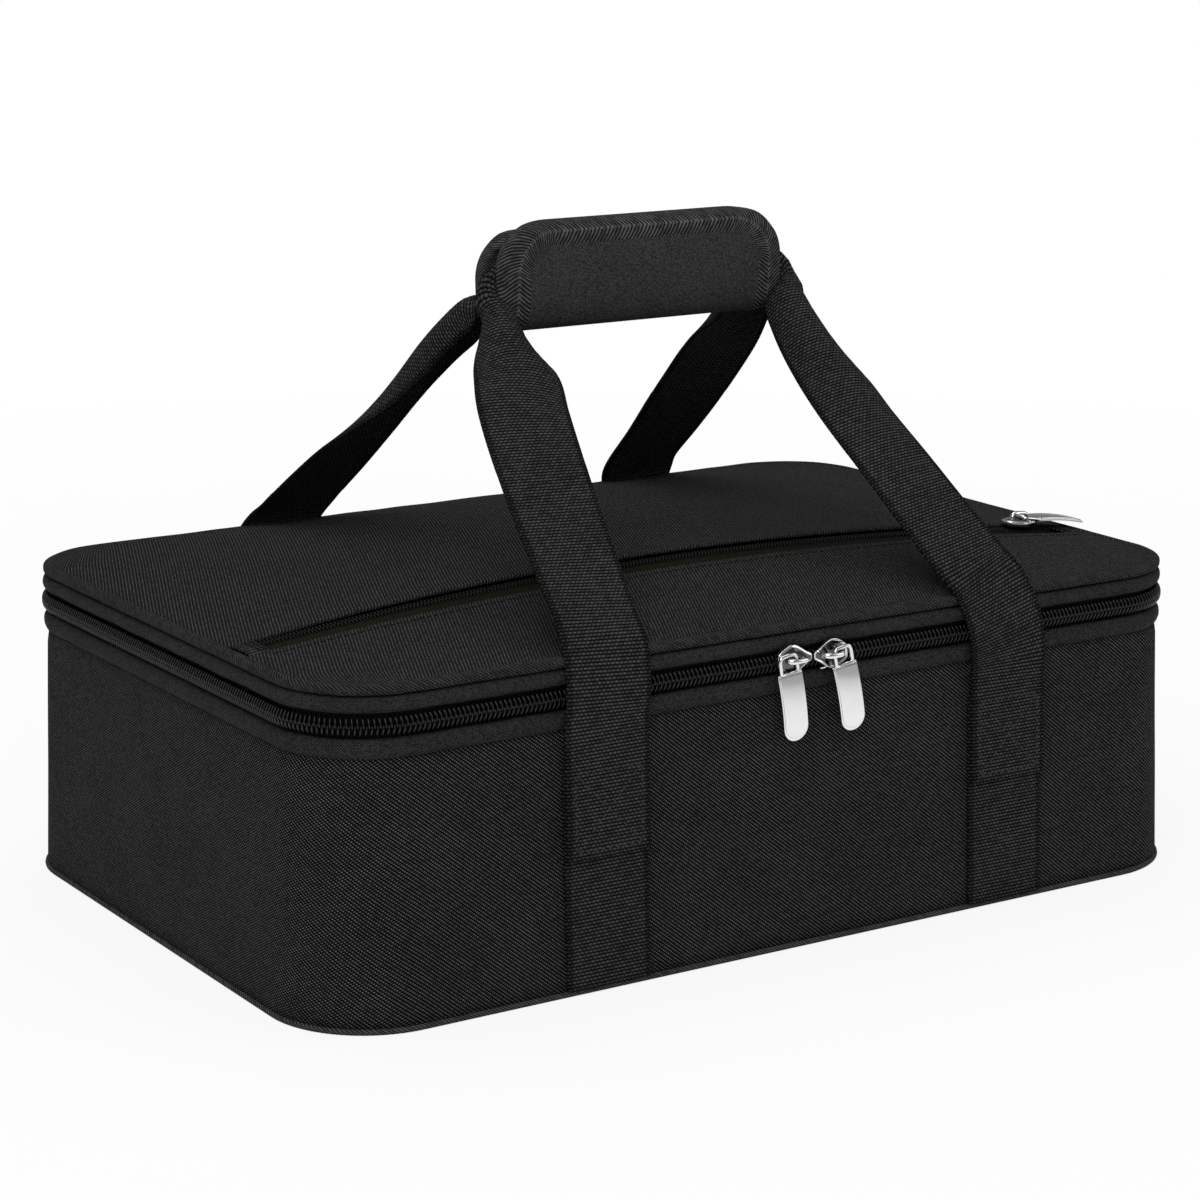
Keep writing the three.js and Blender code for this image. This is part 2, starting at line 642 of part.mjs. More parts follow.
add('rim_bead', band(beadSection(rimBeadBottom, RIM_BEAD_HEIGHT)), beadCloth);
const trimOuter = -BEAD_DEPTH - SEAM_GAP;
const trimInner = trimOuter - RIM_TRIM_WIDTH;
add('rim_inner_binding', band(rectangle(trimInner, trimOuter, rimBeadBottom, rimBeadTop)), bindingCloth);

const tapeInner = -TAPE_INSET - TAPE;
const tapeBottom = rimBeadTop + SEAM_GAP;
const tapeTop = lidBeadBottom - SEAM_GAP;
add('lower_zip_tape', zipRun(rectangle(tapeInner, -TAPE_INSET, tapeBottom, lowerCoilTop)), tapeCloth);
add('lower_zip_coil', zipRun(rectangle(coilInner, coilOuter, lowerCoilBottom, lowerCoilTop)), coilNylon);

const stopWidth = COIL_ROW_HEIGHT;
add('rear_hinge_strip', block(
  vec(SEAM_GAP - straightHalf, DEPTH / 2 + tapeInner, tapeBottom),
  vec(straightHalf - SEAM_GAP, DEPTH / 2 - TAPE_INSET, tapeTop),
), wallCloth);
for (const [name, side] of [['left', -1], ['right', 1]]) {
  const end = side * (straightHalf - SEAM_GAP);
  const far = end - side * stopWidth;
  add(`zip_stop_${name}`, block(
    vec(Math.min(end, far), DEPTH / 2 + coilInner, lowerCoilBottom),
    vec(Math.max(end, far), DEPTH / 2 + coilOuter - SEAM_GAP, lowerCoilTop),
  ), coilNylon);
}

const anchorBottom = pipingHeight + PIPING_RADIUS + SEAM_GAP;
for (const [front, side] of [['front', -1], ['rear', 1]]) {
  for (const [hand, leg] of [['left', -1], ['right', 1]]) {
    const x = HANDLE_SHIFT + leg * LEG_SPACING / 2;
    add(`${front}_${hand}_anchor`, sewnWebbing(side, x, 0, anchorBottom, boxTop), webbingCloth);
    add(`${front}_${hand}_strap_end`, sewnWebbing(side, x, 1, boxBottom, boxTop), webbingCloth);
  }
}

// Lid

const panelInset = BINDING_DEPTH + SEAM_GAP;
const quiltInset = BEAD_DEPTH + SEAM_GAP;
const panel = lidLayer(panelInset, 0, FABRIC);
const coilRear = POCKET_Y + POCKET_COIL_WIDTH / 2;
const coilFront = POCKET_Y - POCKET_COIL_WIDTH / 2;
const rearLip = coilRear + POCKET_REAR_LIP;
const frontLip = coilFront - POCKET_FRONT_LIP;
add('lid_front_panel', lidStrip(panel, -DEPTH, frontLip), lidCloth);
add('lid_rear_panel', lidStrip(panel, rearLip, DEPTH), lidCloth);

const tapeLayer = lidLayer(quiltInset, clothLayer, POCKET_CLOTH);
const tapeFront = frontLip - POCKET_TAPE_HEM;
const tapeRear = rearLip + POCKET_TAPE_HEM;
add('pocket_zip_tape', lidStrip(tapeLayer, tapeFront, tapeRear), tapeCloth);
const coilLayer = lidLayer(panelInset, FABRIC - POCKET_COIL_HEIGHT, POCKET_COIL_HEIGHT);
const coilEnd = LENGTH / 2 - POCKET_COIL_INSET;
add('pocket_zip_coil', lidStrip(coilLayer, coilFront, coilRear, -coilEnd, coilEnd), coilNylon);
for (const [name, side] of [['left', -1], ['right', 1]]) {
  const near = side * (coilEnd + SEAM_GAP);
  const far = side * Math.min(coilEnd + POCKET_TAB_LENGTH, LENGTH / 2 - panelInset);
  add(`pocket_end_tab_${name}`, lidStrip(
    panel, frontLip + SEAM_GAP, rearLip - SEAM_GAP, Math.min(near, far), Math.max(near, far),
  ), lidCloth);
}

const liningDepth = clothLayer + POCKET_CLOTH + SEAM_GAP;
const lidFoamDepth = liningDepth + POCKET_CLOTH + SEAM_GAP;
const lidLinerDepth = lidFoamDepth + LID_FOAM + SEAM_GAP;
add('pocket_lining', lidLayer(quiltInset, liningDepth, POCKET_CLOTH), linerFilm);
add('lid_foam', lidLayer(quiltInset, lidFoamDepth, LID_FOAM), foam);
add('lid_liner', lidLayer(quiltInset, lidLinerDepth, LINER), linerFilm);

add('lid_edge_bead', band(beadSection(lidBeadBottom, LID_BEAD_HEIGHT)), beadCloth);
const bindingWaist = lidBindingBottom + LID_BINDING_HEIGHT / 2;
add('lid_edge_binding', band([
  [-BINDING_DEPTH, lidBindingBottom],
  [BINDING_PROUD / 2, lidBindingBottom],
  [BINDING_PROUD, bindingWaist],
  [BINDING_PROUD / 4, lidEdge],
  [-BINDING_DEPTH, lidEdge + BINDING_PROUD / 2],
]), bindingCloth);
add('upper_zip_tape', zipRun(rectangle(tapeInner, -TAPE_INSET, upperCoilBottom, tapeTop)), tapeCloth);
add('upper_zip_coil', zipRun(rectangle(coilInner, coilOuter, upperCoilBottom, upperCoilTop)), coilNylon);

// Handles and grip

add('front_handle_webbing', handle(-1), webbingCloth);
add('rear_handle_webbing', handle(1), webbingCloth);
add('grip_back_pad', gripPad(1), wallCloth);
add('grip_back_binding', gripBinding(1), bindingCloth);
add('grip_back_fold', gripFold(1), wallCloth);
add('grip_loop_tape', closureTape(1), closureNylon);
add('grip_flap_pad', gripPad(-1), wallCloth);
add('grip_flap_fold', gripFold(-1), wallCloth);
add('grip_flap_binding', gripBinding(-1), bindingCloth);
add('grip_hook_tape', closureTape(-1), closureNylon);

// Sliders and pulls

const sliderStand = coilOuter + SLIDER_CLEARANCE;
for (const [hand, direction, x, tilt] of [
  ['left', 1, SLIDER_LEFT_X, PULL_LEFT_TILT],
  ['right', -1, SLIDER_RIGHT_X, PULL_RIGHT_TILT],
]) {
  const chain = new THREE.Group();
  chain.applyMatrix4(axesAlongY);
  chain.position.set(x, -DEPTH / 2 - sliderStand, sliderMiddle);
  carrier.add(chain);
  add(`${hand}_slider`, slider(direction, true), chrome, chain);
  const hung = add(`${hand}_pull`, pull(), chrome, chain);
  hung.position.set(-direction * BRIDGE_SPAN / 2, 0, SLIDER_PLATE + PULL_PLAY);
  hung.rotation.z = THREE.MathUtils.degToRad(tilt);
}

// The pocket slider follows the crown, and its pull lies over towards the right edge.
const pocketSeat = FABRIC - POCKET_COIL_HEIGHT - SLIDER_CLEARANCE;
const pocketX = LENGTH / 2 - SLIDER_POCKET_INSET;
const pocketRun = new THREE.Group();
pocketRun.position.set(pocketX, POCKET_Y, lidSurface(pocketX, POCKET_Y) - pocketSeat);
pocketRun.rotation.y = Math.atan(2 * LID_CROWN * crownAcross(POCKET_Y) * pocketX / crownHalfLength ** 2);
carrier.add(pocketRun);
add('pocket_slider', slider(1, false), chrome, pocketRun);
const pocketPivot = new THREE.Group();
pocketPivot.position.z = SLIDER_PLATE + bridgeRoom / 2;
pocketPivot.rotation.y = THREE.MathUtils.degToRad(PULL_POCKET_DROP);
pocketRun.add(pocketPivot);
const pocketPull = add('pocket_pull', pull(), chrome, pocketPivot);
pocketPull.position.set(LOOP_RISE + LOOP_BAR / 2, 0, -PULL_PLATE / 2);
pocketPull.rotation.z = Math.PI / 2;

export default carrier;
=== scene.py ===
"""Casserole carrier: cloth, webbing, zips and chrome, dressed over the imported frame.

Metres, +Z up, +X along the length, +Y to the back. The origin is the middle of the base.
"""

from __future__ import annotations

import json
import logging
import math
from collections.abc import Callable, Mapping, Sequence
from dataclasses import dataclass
from enum import Enum, auto
from functools import cache, partialmethod
from itertools import accumulate, pairwise

import bmesh
import bpy
from mathutils import Matrix, Vector, noise

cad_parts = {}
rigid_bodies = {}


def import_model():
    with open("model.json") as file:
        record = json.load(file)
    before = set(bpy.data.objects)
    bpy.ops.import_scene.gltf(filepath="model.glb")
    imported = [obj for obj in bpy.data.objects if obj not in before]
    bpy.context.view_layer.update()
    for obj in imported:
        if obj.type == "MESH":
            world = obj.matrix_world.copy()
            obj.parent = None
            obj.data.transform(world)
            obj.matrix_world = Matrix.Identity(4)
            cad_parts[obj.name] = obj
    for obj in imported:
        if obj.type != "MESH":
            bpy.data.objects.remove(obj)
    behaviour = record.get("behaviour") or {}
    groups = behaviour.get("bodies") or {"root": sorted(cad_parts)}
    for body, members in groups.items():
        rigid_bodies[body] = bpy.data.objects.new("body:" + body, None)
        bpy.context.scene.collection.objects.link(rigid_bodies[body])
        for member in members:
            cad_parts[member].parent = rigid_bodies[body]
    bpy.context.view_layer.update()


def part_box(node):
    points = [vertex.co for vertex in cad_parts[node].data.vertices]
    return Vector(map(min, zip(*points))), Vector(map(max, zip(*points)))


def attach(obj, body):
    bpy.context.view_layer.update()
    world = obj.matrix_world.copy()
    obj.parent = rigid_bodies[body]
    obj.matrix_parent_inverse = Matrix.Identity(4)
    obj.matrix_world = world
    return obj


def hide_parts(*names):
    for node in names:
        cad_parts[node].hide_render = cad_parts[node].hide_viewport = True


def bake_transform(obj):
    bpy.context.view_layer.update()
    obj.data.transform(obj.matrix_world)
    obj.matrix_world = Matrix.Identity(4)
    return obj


log = logging.getLogger("casserole_carrier")

MM = 0.001
QUARTER = math.pi / 2
UP = Vector((0, 0, 1))
RIGHT = Vector((1, 0, 0))
FILM = 0.4 * MM

Colour = tuple[float, float, float, float]
Pair = tuple[float, float]
Flat = Callable[[float, float], Pair]
Spot = Callable[[float, float], Vector]
Mesh = bmesh.types.BMesh
Piece = bpy.types.Object
Socket = bpy.types.NodeSocket


# Shader maths


class Value:
    """A number on a shader socket, so that shader maths reads as Python."""

    def __init__(self, tree: Tree, socket: Socket) -> None:
        """Wraps an output socket of a node tree."""
        self.tree = tree
        self.socket = socket

    def math(self, operation: str, *others: Value | float) -> Value:
        """Adds a Math node on this value and the others.

        Args:
            operation: the node's operation.
            others: its further operands.

        Returns:
            The node's result.
        """
        operands = dict(enumerate((self, *others)))
        made = self.tree.node("ShaderNodeMath", {"operation": operation}, operands)
        return Value(self.tree, made.outputs[0])

    # Each operator is one Math node. A number less the value is the value times -1, plus the number.
    __add__ = __radd__ = partialmethod(math, "ADD")
    __sub__ = partialmethod(math, "SUBTRACT")
    __rsub__ = partialmethod(math, "MULTIPLY_ADD", -1.0)
    __mul__ = __rmul__ = partialmethod(math, "MULTIPLY")
    __truediv__ = partialmethod(math, "DIVIDE")
    __mod__ = partialmethod(math, "FLOORED_MODULO")
    __pow__ = partialmethod(math, "POWER")
    __lt__ = partialmethod(math, "LESS_THAN")
    floor = partialmethod(math, "FLOOR")

    def arch(self) -> Value:
        """A hump from nought to one and back over each whole number."""
        return (self.math("FRACT") * math.pi).math("SINE")


class Tree:
    """A node tree that is filled node by node."""

    def __init__(self, tree: bpy.types.NodeTree) -> None:
        """Empties the tree."""
        self.tree = tree
        tree.nodes.clear()

    def node(
        self, kind: str, settings: Mapping[str, object], inputs: Mapping[str | int, object]
    ) -> bpy.types.Node:
        """Adds a node.

        Args:
            kind: the node's type.
            settings: its own properties, set first.
            inputs: values, or links from a Value or a socket, by socket name or number.

        Returns:
            The node.
        """
        made = self.tree.nodes.new(kind)
        for name, value in settings.items():
            setattr(made, name, value)
        for name, value in inputs.items():
            source = value.socket if isinstance(value, Value) else value
            if isinstance(source, Socket):
                self.tree.links.new(source, made.inputs[name])
            else:
                made.inputs[name].default_value = source
        return made

    def seen(self, *kinds: str) -> Value:
        """One for rays of the given kinds, else nought.

        Args:
            kinds: outputs of the Light Path node.

        Returns:
            The largest of those outputs.
        """
        path = self.node("ShaderNodeLightPath", {}, {})
        found, *others = [Value(self, path.outputs[kind]) for kind in kinds]
        for other in others:
            found = found.math("MAXIMUM", other)
        return found


class Shader(Tree):
    """The node tree of one material, with a Principled shader at its end."""

    def __init__(self, name: str, constants: Mapping[str, object]) -> None:
        """Starts a material.

        Args:
            name: the material's name.
            constants: values of the shader's own sockets that are the same all over.
        """
        self.material = bpy.data.materials.new(name)
        self.material.use_nodes = True
        super().__init__(self.material.node_tree)
        self.surface = self.node("ShaderNodeBsdfPrincipled", {}, constants)
        self.output = self.node("ShaderNodeOutputMaterial", {}, {"Surface": self.surface.outputs[0]})

    def parts(self, vector: Socket) -> tuple[Value, Value, Value]:
        """Splits a vector into three values."""
        split = self.node("ShaderNodeSeparateXYZ", {}, {0: vector})
        return tuple(Value(self, out) for out in split.outputs)

    def cloth(self) -> tuple[Value, Value]:
        """The piece's own UV map, in metres across and along the cloth."""
        across, along, _ = self.parts(self.node("ShaderNodeUVMap", {}, {}).outputs[0])
        return across, along

    def place(self) -> Socket:
        """Object coordinates."""
        return self.node("ShaderNodeTexCoord", {}, {}).outputs["Object"]

    def blotches(self, scale: float, detail: float) -> Value:
        """Soft noise in space, from nought to one."""
        inputs = {"Vector": self.place(), "Scale": scale, "Detail": detail}
        return Value(self, self.node("ShaderNodeTexNoise", {}, inputs).outputs[0])

    def lot(self, first: Value, second: Value) -> Value:
        """A number drawn for each pair of whole numbers.

        Args:
            first: the first number of the pair.
            second: the second one.

        Returns:
            The number, from nought to one.
        """
        pair = self.node("ShaderNodeCombineXYZ", {}, {0: first, 1: second})
        drawn = self.node("ShaderNodeTexWhiteNoise", {"noise_dimensions": "2D"}, {0: pair.outputs[0]})
        return Value(self, drawn.outputs["Value"])

    def between(self, share: Value, low: Colour, high: Colour) -> Socket:
        """A colour between two."""
        mix = self.node("ShaderNodeMix", {"data_type": "RGBA"}, {0: share, 6: low, 7: high})
        return mix.outputs[2]

    def emboss(self, height: Value, depth: float, strength: float = 1.0) -> None:
        """Lets a height stand out of the surface."""
        inputs = {"Strength": strength, "Distance": depth, "Height": height}
        self.feed("Normal", self.node("ShaderNodeBump", {}, inputs).outputs[0])

    def feed(self, name: str, source: Value | Socket) -> None:
        """Links a socket of the Principled shader."""
        socket = source.socket if isinstance(source, Value) else source
        self.tree.links.new(socket, self.surface.inputs[name])


# Finishes


class Weave(Enum):
    """Ways in which the threads of a cloth cross."""

    DIAGONAL = auto()
    RIB = auto()
    BASKET = auto()
    TWILL = auto()
    HERRINGBONE = auto()
    GRAIN = auto()


class Finish:
    """A material that is made once and used wherever it is asked for."""

    name: str

    @cache
    def material(self) -> bpy.types.Material:
        """The finish as a Blender material."""
        return self.build().material

    def build(self) -> Shader:
        """Makes the node tree.

        Returns:
            The material's shader.
        """
        raise NotImplementedError


@dataclass(frozen=True)
class Cloth(Finish):
    """A woven finish. Colours are of the valleys and the crests of the threads: the darker valleys are
    painted shade and the lighter crests a painted glint, while the tone drawn for each crossing and the soft
    blotches differ at random.
    """

    name: str
    weave: Weave
    pitch: float
    step: float
    dark: Colour
    light: Colour
    depth: float = 0.2 * MM
    roughness: float = 0.85
    spine: float = 0.0
    seam: float = 0.5 * MM
    uneven: float = 0.35
    selvedge: float = 0.0
    lean: float = 0.0
    dash: float = 0.62

    def build(self) -> Shader:
        """Makes the node tree.

        Returns:
            The material's shader.
        """
        shader = Shader(self.name, {"Specular IOR Level": 0.05})
        across, along = shader.cloth()
        height, lot = self.threads(shader, across, along)
        worn = shader.blotches(45.0, 4.0)
        # Colour follows the threads' height: painted shade in the valleys and a painted glint on the crests,
        # varied at random for each crossing and by soft blotches.
        painted_glint_and_tone = height * (1.0 - self.uneven + self.uneven * 2.0 * lot) * (0.7 + 0.6 * worn)
        if self.selvedge:
            painted_glint_and_tone = painted_glint_and_tone * (0.45 + 0.55 * (across.math("ABSOLUTE") < self.selvedge))
        shader.feed("Base Color", shader.between(painted_glint_and_tone, self.dark, self.light))
        shader.feed("Roughness", self.roughness + 0.1 - 0.2 * height)
        shader.emboss(height, self.depth)
        return shader

    def threads(self, shader: Shader, across: Value, along: Value) -> tuple[Value, Value]:
        """Height of the threads.

        Args:
            shader: the tree to add to.
            across: metres across the cloth.
            along: metres along it.

        Returns:
            The height from nought to one, and a number drawn for each crossing.
        """
        a, b = across / self.pitch, along / self.step
        match self.weave:
            case Weave.DIAGONAL:
                shifted = a + self.lean * b.floor()
                hump = (shifted.math("FRACT") * (math.pi / self.dash)).math("SINE").math("MAXIMUM", 0.0)
                return hump**1.5 * (0.3 + 0.7 * b.arch()), shader.lot(shifted.floor(), b.floor())
            case Weave.GRAIN:
                odd = (a.floor() + b.floor()) % 2.0
                weft = b.arch() * (0.45 + 0.55 * a.arch())
                warp = a.arch() * (0.5 + 0.5 * b.arch())
                return odd * weft + (1.0 - odd) * warp * 0.16, shader.lot(a.floor(), b.floor())
            case Weave.RIB:
                shifted = b + 0.5 * (a.floor() % 2.0)
                height = a.arch() ** 1.6 * (0.5 + 0.5 * shifted.arch())
                return height, shader.lot(a.floor(), shifted.floor())
            case Weave.BASKET:
                shifted = a + 0.5 * (b.floor() % 2.0)
                height = b.arch() ** 2.0 * (0.15 + 0.85 * shifted.arch())
                return height, shader.lot(shifted.floor(), b.floor())
            case Weave.TWILL:
                diagonal = a + b
                height = diagonal.arch() ** 1.4 * (0.7 + 0.3 * (b - a).arch())
                return height, shader.lot(diagonal.floor(), b.floor())
        side = (across - self.spine).math("ABSOLUTE")
        diagonal = (along + side) / self.pitch
        stitch = (side < self.seam) * ((along / self.step).arch() ** 2.0)
        height = diagonal.arch() ** 2.0 * 0.7 + stitch * 0.4
        return height, shader.lot(diagonal.floor(), (side / self.pitch).floor())


@dataclass(frozen=True)
class Moulded(Finish):
    """Smooth nylon or thread, faintly mottled."""

    name: str
    colour: Colour
    lighter: Colour
    roughness: float
    grain: float = 900.0
    gloss: float = 0.5

    def build(self) -> Shader:
        """Makes the node tree.

        Returns:
            The material's shader.
        """
        shader = Shader(self.name, {"Specular IOR Level": self.gloss})
        mottle = shader.blotches(self.grain, 3.0)
        shader.feed("Base Color", shader.between(mottle, self.colour, self.lighter))
        shader.feed("Roughness", self.roughness * (0.8 + 0.4 * mottle))
        shader.emboss(mottle, 0.05 * MM, 0.4)
        return shader


@dataclass(frozen=True)
class Pile(Finish):
    """Hook or loop tape: a rough surface of many small bumps."""

    name: str
    dark: Colour
    light: Colour
    pitch: float

    def build(self) -> Shader:
        """Makes the node tree.

        Returns:
            The material's shader.
        """
        shader = Shader(self.name, {"Specular IOR Level": 0.2, "Sheen Weight": 0.15})
        inputs = {"Vector": shader.place(), "Scale": 1.0 / self.pitch}
        cells = Value(shader, shader.node("ShaderNodeTexVoronoi", {}, inputs).outputs["Distance"])
        bumps = 1.0 - cells.math("MINIMUM", 1.0)
        shader.feed("Base Color", shader.between(bumps, self.dark, self.light))
        shader.feed("Roughness", 0.95 - 0.15 * bumps)
        shader.emboss(bumps, 0.5 * self.pitch)
        return shader


@dataclass(frozen=True)
class Film(Finish):
    """Silvery wipe-clean film with fine creases."""

    name: str
    dark: Colour
    light: Colour

    def build(self) -> Shader:
        """Makes the node tree.

        Returns:
            The material's shader.
        """
        shader = Shader(self.name, {"Specular IOR Level": 0.6})
        creases = shader.blotches(60.0, 6.0)
        fine = shader.blotches(340.0, 3.0)
        ridge = 1.0 - ((creases - 0.5) * 5.0).math("ABSOLUTE").math("MINIMUM", 1.0)
        shader.feed("Base Color", shader.between(0.6 * ridge + 0.4 * fine, self.dark, self.light))
        shader.feed("Metallic", 0.55 + 0.2 * ridge)
        shader.feed("Roughness", 0.3 + 0.2 * fine)
        shader.emboss(ridge + 0.25 * fine, 0.6 * MM)
        return shader


@dataclass(frozen=True)
class Polished(Finish):
    """Bright plated metal with faint wear."""

    name: str
    colour: Colour
    dull: Colour

    def build(self) -> Shader:
        """Makes the node tree.

        Returns:
            The material's shader.
        """
        shader = Shader(self.name, {"Metallic": 1.0})
        haze = shader.blotches(260.0, 4.0)
        shader.feed("Base Color", shader.between(haze * haze, self.colour, self.dull))
        shader.feed("Roughness", 0.06 + 0.1 * haze)
        shader.emboss(haze, 0.02 * MM, 0.05)
        return shader


def grey(level: float, tint: float = 0.0) -> Colour:
    """A grey, a little bluer where it has a tint."""
    return (level * (1 - 0.4 * tint), level * (1 - 0.6 * tint), level * (1 + tint), 1.0)


def dyed(level: float) -> Colour:
    """A grey of the black cloth, which is faintly blue."""
    return grey(level, 0.03)


WALL_CLOTH = Cloth(
    "wall_twill", Weave.DIAGONAL, 2.0 * MM, 0.65 * MM, dyed(0.0006), dyed(0.125), 0.3 * MM,
    lean=0.4, dash=0.44,
)
LID_CLOTH = Cloth(
    "lid_twill", Weave.DIAGONAL, 1.45 * MM, 0.6 * MM, dyed(0.008), dyed(0.068),
    uneven=0.7, lean=-0.17, dash=0.6,
)
TAB_CLOTH = Cloth("pocket_tab_rib", Weave.RIB, 2.7 * MM, 1.6 * MM, grey(0.001), grey(0.045), 0.5 * MM)
WEBBING = Cloth(
    "webbing_basket", Weave.BASKET, 1.9 * MM, 1.4 * MM, dyed(0.0006), dyed(0.066), 0.4 * MM,
    selvedge=16.6 * MM,
)
EDGE_TWILL = Cloth("edge_twill", Weave.TWILL, 1.8 * MM, 1.5 * MM, dyed(0.0008), dyed(0.042))
PIPING_TWILL = Cloth("piping_twill", Weave.TWILL, 1.7 * MM, 1.7 * MM, grey(0.004), grey(0.07))
HERRINGBONE = Cloth(
    "grip_herringbone", Weave.HERRINGBONE, 1.8 * MM, 2.6 * MM, dyed(0.0005), dyed(0.1), 0.3 * MM,
    spine=4.0 * MM,
)
BEAD_CLOTH = Cloth(
    "bead_grain", Weave.GRAIN, 0.55 * MM, 0.55 * MM, dyed(0.003), dyed(0.065), 0.1 * MM, 0.7, uneven=0.6
)
GRIP_CLOTH = Cloth(
    "grip_grain", Weave.GRAIN, 0.55 * MM, 0.55 * MM, dyed(0.01), dyed(0.09), 0.12 * MM, uneven=0.6
)
ZIP_TAPE = Cloth("main_zip_tape", Weave.RIB, 0.7 * MM, 1.4 * MM, grey(0.001), grey(0.006), 0.1 * MM)
OLIVE_DARK = (0.004, 0.0038, 0.002, 1)
OLIVE_LIGHT = (0.015, 0.0142, 0.0085, 1)
POCKET_TAPE = Cloth("pocket_tape", Weave.RIB, 0.7 * MM, 1.4 * MM, OLIVE_DARK, OLIVE_LIGHT, 0.1 * MM)
COIL = Moulded("coil_nylon", grey(0.001), grey(0.003), 0.24, gloss=0.3)
# Darker than the main coil: painted shade under the rear panel's lip, which overhangs it. It is rougher and
# less glossy as well.
SHADED_POCKET_COIL = Moulded("pocket_coil_nylon_in_shade", grey(0.0008), grey(0.002), 0.5, gloss=0.2)
THREAD = Moulded("black_thread", grey(0.001), grey(0.006), 0.6, grain=2500.0, gloss=0.15)
GREY_THREAD = Moulded("grey_thread", grey(0.012), grey(0.05), 0.6, grain=2500.0, gloss=0.15)
CHROME = Polished("bright_plating", grey(0.86, 0.01), grey(0.8, 0.01))
# A dark copy of the bright plating, for the sliders' raised faces: painted reflection of dark surroundings.
SHADED_CHROME = Polished("painted_reflection_plating", grey(0.13, 0.02), grey(0.1, 0.02))
LINER = Film("liner_film", grey(0.36, 0.02), grey(0.62, 0.01))
HOOKS = Pile("hook_tape", grey(0.006), grey(0.03), 1.1 * MM)
LOOPS = Pile("loop_tape", grey(0.008), grey(0.035), 0.7 * MM)
BOARD = Moulded("board_fibre", grey(0.02), grey(0.05), 0.7, grain=120.0)


# Shapes


def lerp(low: float, high: float, share: float) -> float:
    """Number between two."""
    return low + (high - low) * share


def clamp(share: float) -> float:
    """Keeps a share between nought and one."""
    return min(max(share, 0.0), 1.0)


def smooth(share: float) -> float:
    """Eases in and out between nought and one."""
    held = clamp(share)
    return held * held * (3 - 2 * held)


def bulge(value: float, power: float) -> float:
    """A number's size to a power, with its sign kept."""
    return math.copysign(abs(value) ** power, value)


def span(points: Sequence[Vector]) -> float:
    """Length of a line through points."""
    return sum((after - before).length for before, after in pairwise(points))


def spread(low_u: float, high_u: float, low_v: float, high_v: float) -> Flat:
    """Maps two shares from nought to one onto a flat rectangle."""
    return lambda u, v: (lerp(low_u, high_u, u), lerp(low_v, high_v, v))


def piece_of(name: str, bm: Mesh, finish: Finish, crease: float = 180.0) -> Piece:
    """Makes an object of a bmesh.

    Args:
        name: the piece's name.
        bm: its shape, which is used up.
        finish: its material.
        crease: edges bent by more than this many degrees stay sharp.

    Returns:
        The object, at the origin.
    """
    mesh = bpy.data.meshes.new(name)
    bm.to_mesh(mesh)
    bm.free()
    mesh.shade_smooth()
    if crease < 180.0:
        mesh.set_sharp_from_angle(angle=math.radians(crease))
    mesh.materials.append(finish.material())
    piece = bpy.data.objects.new(name, mesh)
    bpy.context.scene.collection.objects.link(piece)
    return piece


def fasten(piece: Piece, slot: str, body: str, *nodes: str) -> None:
    """Lets a piece ride on a body and stand for CAD nodes.

    Args:
        piece: the piece.
        slot: not used.
        body: the body that carries it.
        nodes: the CAD nodes that it stands for, if any.
    """
    if nodes:
        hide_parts(*nodes)
    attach(piece, body)
    log.info("%s rides on %s", piece.name, body)


def bend(piece: Piece, slot: str, bodies: tuple[str, str], ends: Sequence[tuple], *nodes: str) -> None:
    """Bakes a piece where it lies, logs the two bodies that it lies between, and lets it stand for CAD nodes.

    Args:
        piece: the piece.
        slot: not used.
        bodies: the body that would hold it and the body that moves, which are only logged.
        ends: points where the bend would begin and end; not used.
        nodes: the CAD nodes that it stands for.
    """
    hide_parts(*nodes)
    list(bodies)
    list(ends)
    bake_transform(piece)
    log.info("%s bends between %s and %s", piece.name, *bodies)


def thicken(piece: Piece, thickness: float) -> None:
    """Gives a sheet its thickness, inwards from the face that shows.

    Args:
        piece: the sheet.
        thickness: how thick it gets.
    """
    solidify = piece.modifiers.new("thickness", "SOLIDIFY")
    solidify.thickness = thickness
    solidify.offset = -1.0


def drape(columns: int, rows: int, place: Spot, cloth: Flat) -> Mesh:
    """Lays a grid on a surface.

    Args:
        columns: cells across.
        rows: cells along.
        place: gives a point for two shares from nought to one.
        cloth: gives the UV, in metres, for the same shares.

    Returns:
        The draped grid.
    """
    bm = bmesh.new()
    bmesh.ops.create_grid(bm, x_segments=columns, y_segments=rows, size=0.5)
    layer = bm.loops.layers.uv.new("cloth")
    for face in bm.faces:
        for loop in face.loops:
            loop[layer].uv = cloth(loop.vert.co.x + 0.5, loop.vert.co.y + 0.5)
    for vert in bm.verts:
        vert.co = place(vert.co.x + 0.5, vert.co.y + 0.5)
    return bm


def close_up(bm: Mesh) -> Mesh:
    """Merges touching points, fills open ends and turns the faces outwards.

    Args:
        bm: the shape, which is changed.

    Returns:
        The same shape.
    """
    bmesh.ops.remove_doubles(bm, verts=bm.verts, dist=0.002 * MM)
    open_edges = [edge for edge in bm.edges if edge.is_boundary]
    if open_edges:
        bmesh.ops.holes_fill(bm, edges=open_edges, sides=0)
    bmesh.ops.recalc_face_normals(bm, faces=bm.faces)
    return bm


def ruffle(bm: Mesh, amount: float, wavelength: float) -> None:
    """Moves each point along its normal by soft noise.

    Args:
        bm: the shape, which is changed.
        amount: the largest move.
        wavelength: size of the noise.
    """
    bm.normal_update()
    shifts = [noise.noise(vert.co / wavelength) * amount for vert in bm.verts]
    for vert, shift in zip(bm.verts, shifts):
        vert.co += vert.normal * shift


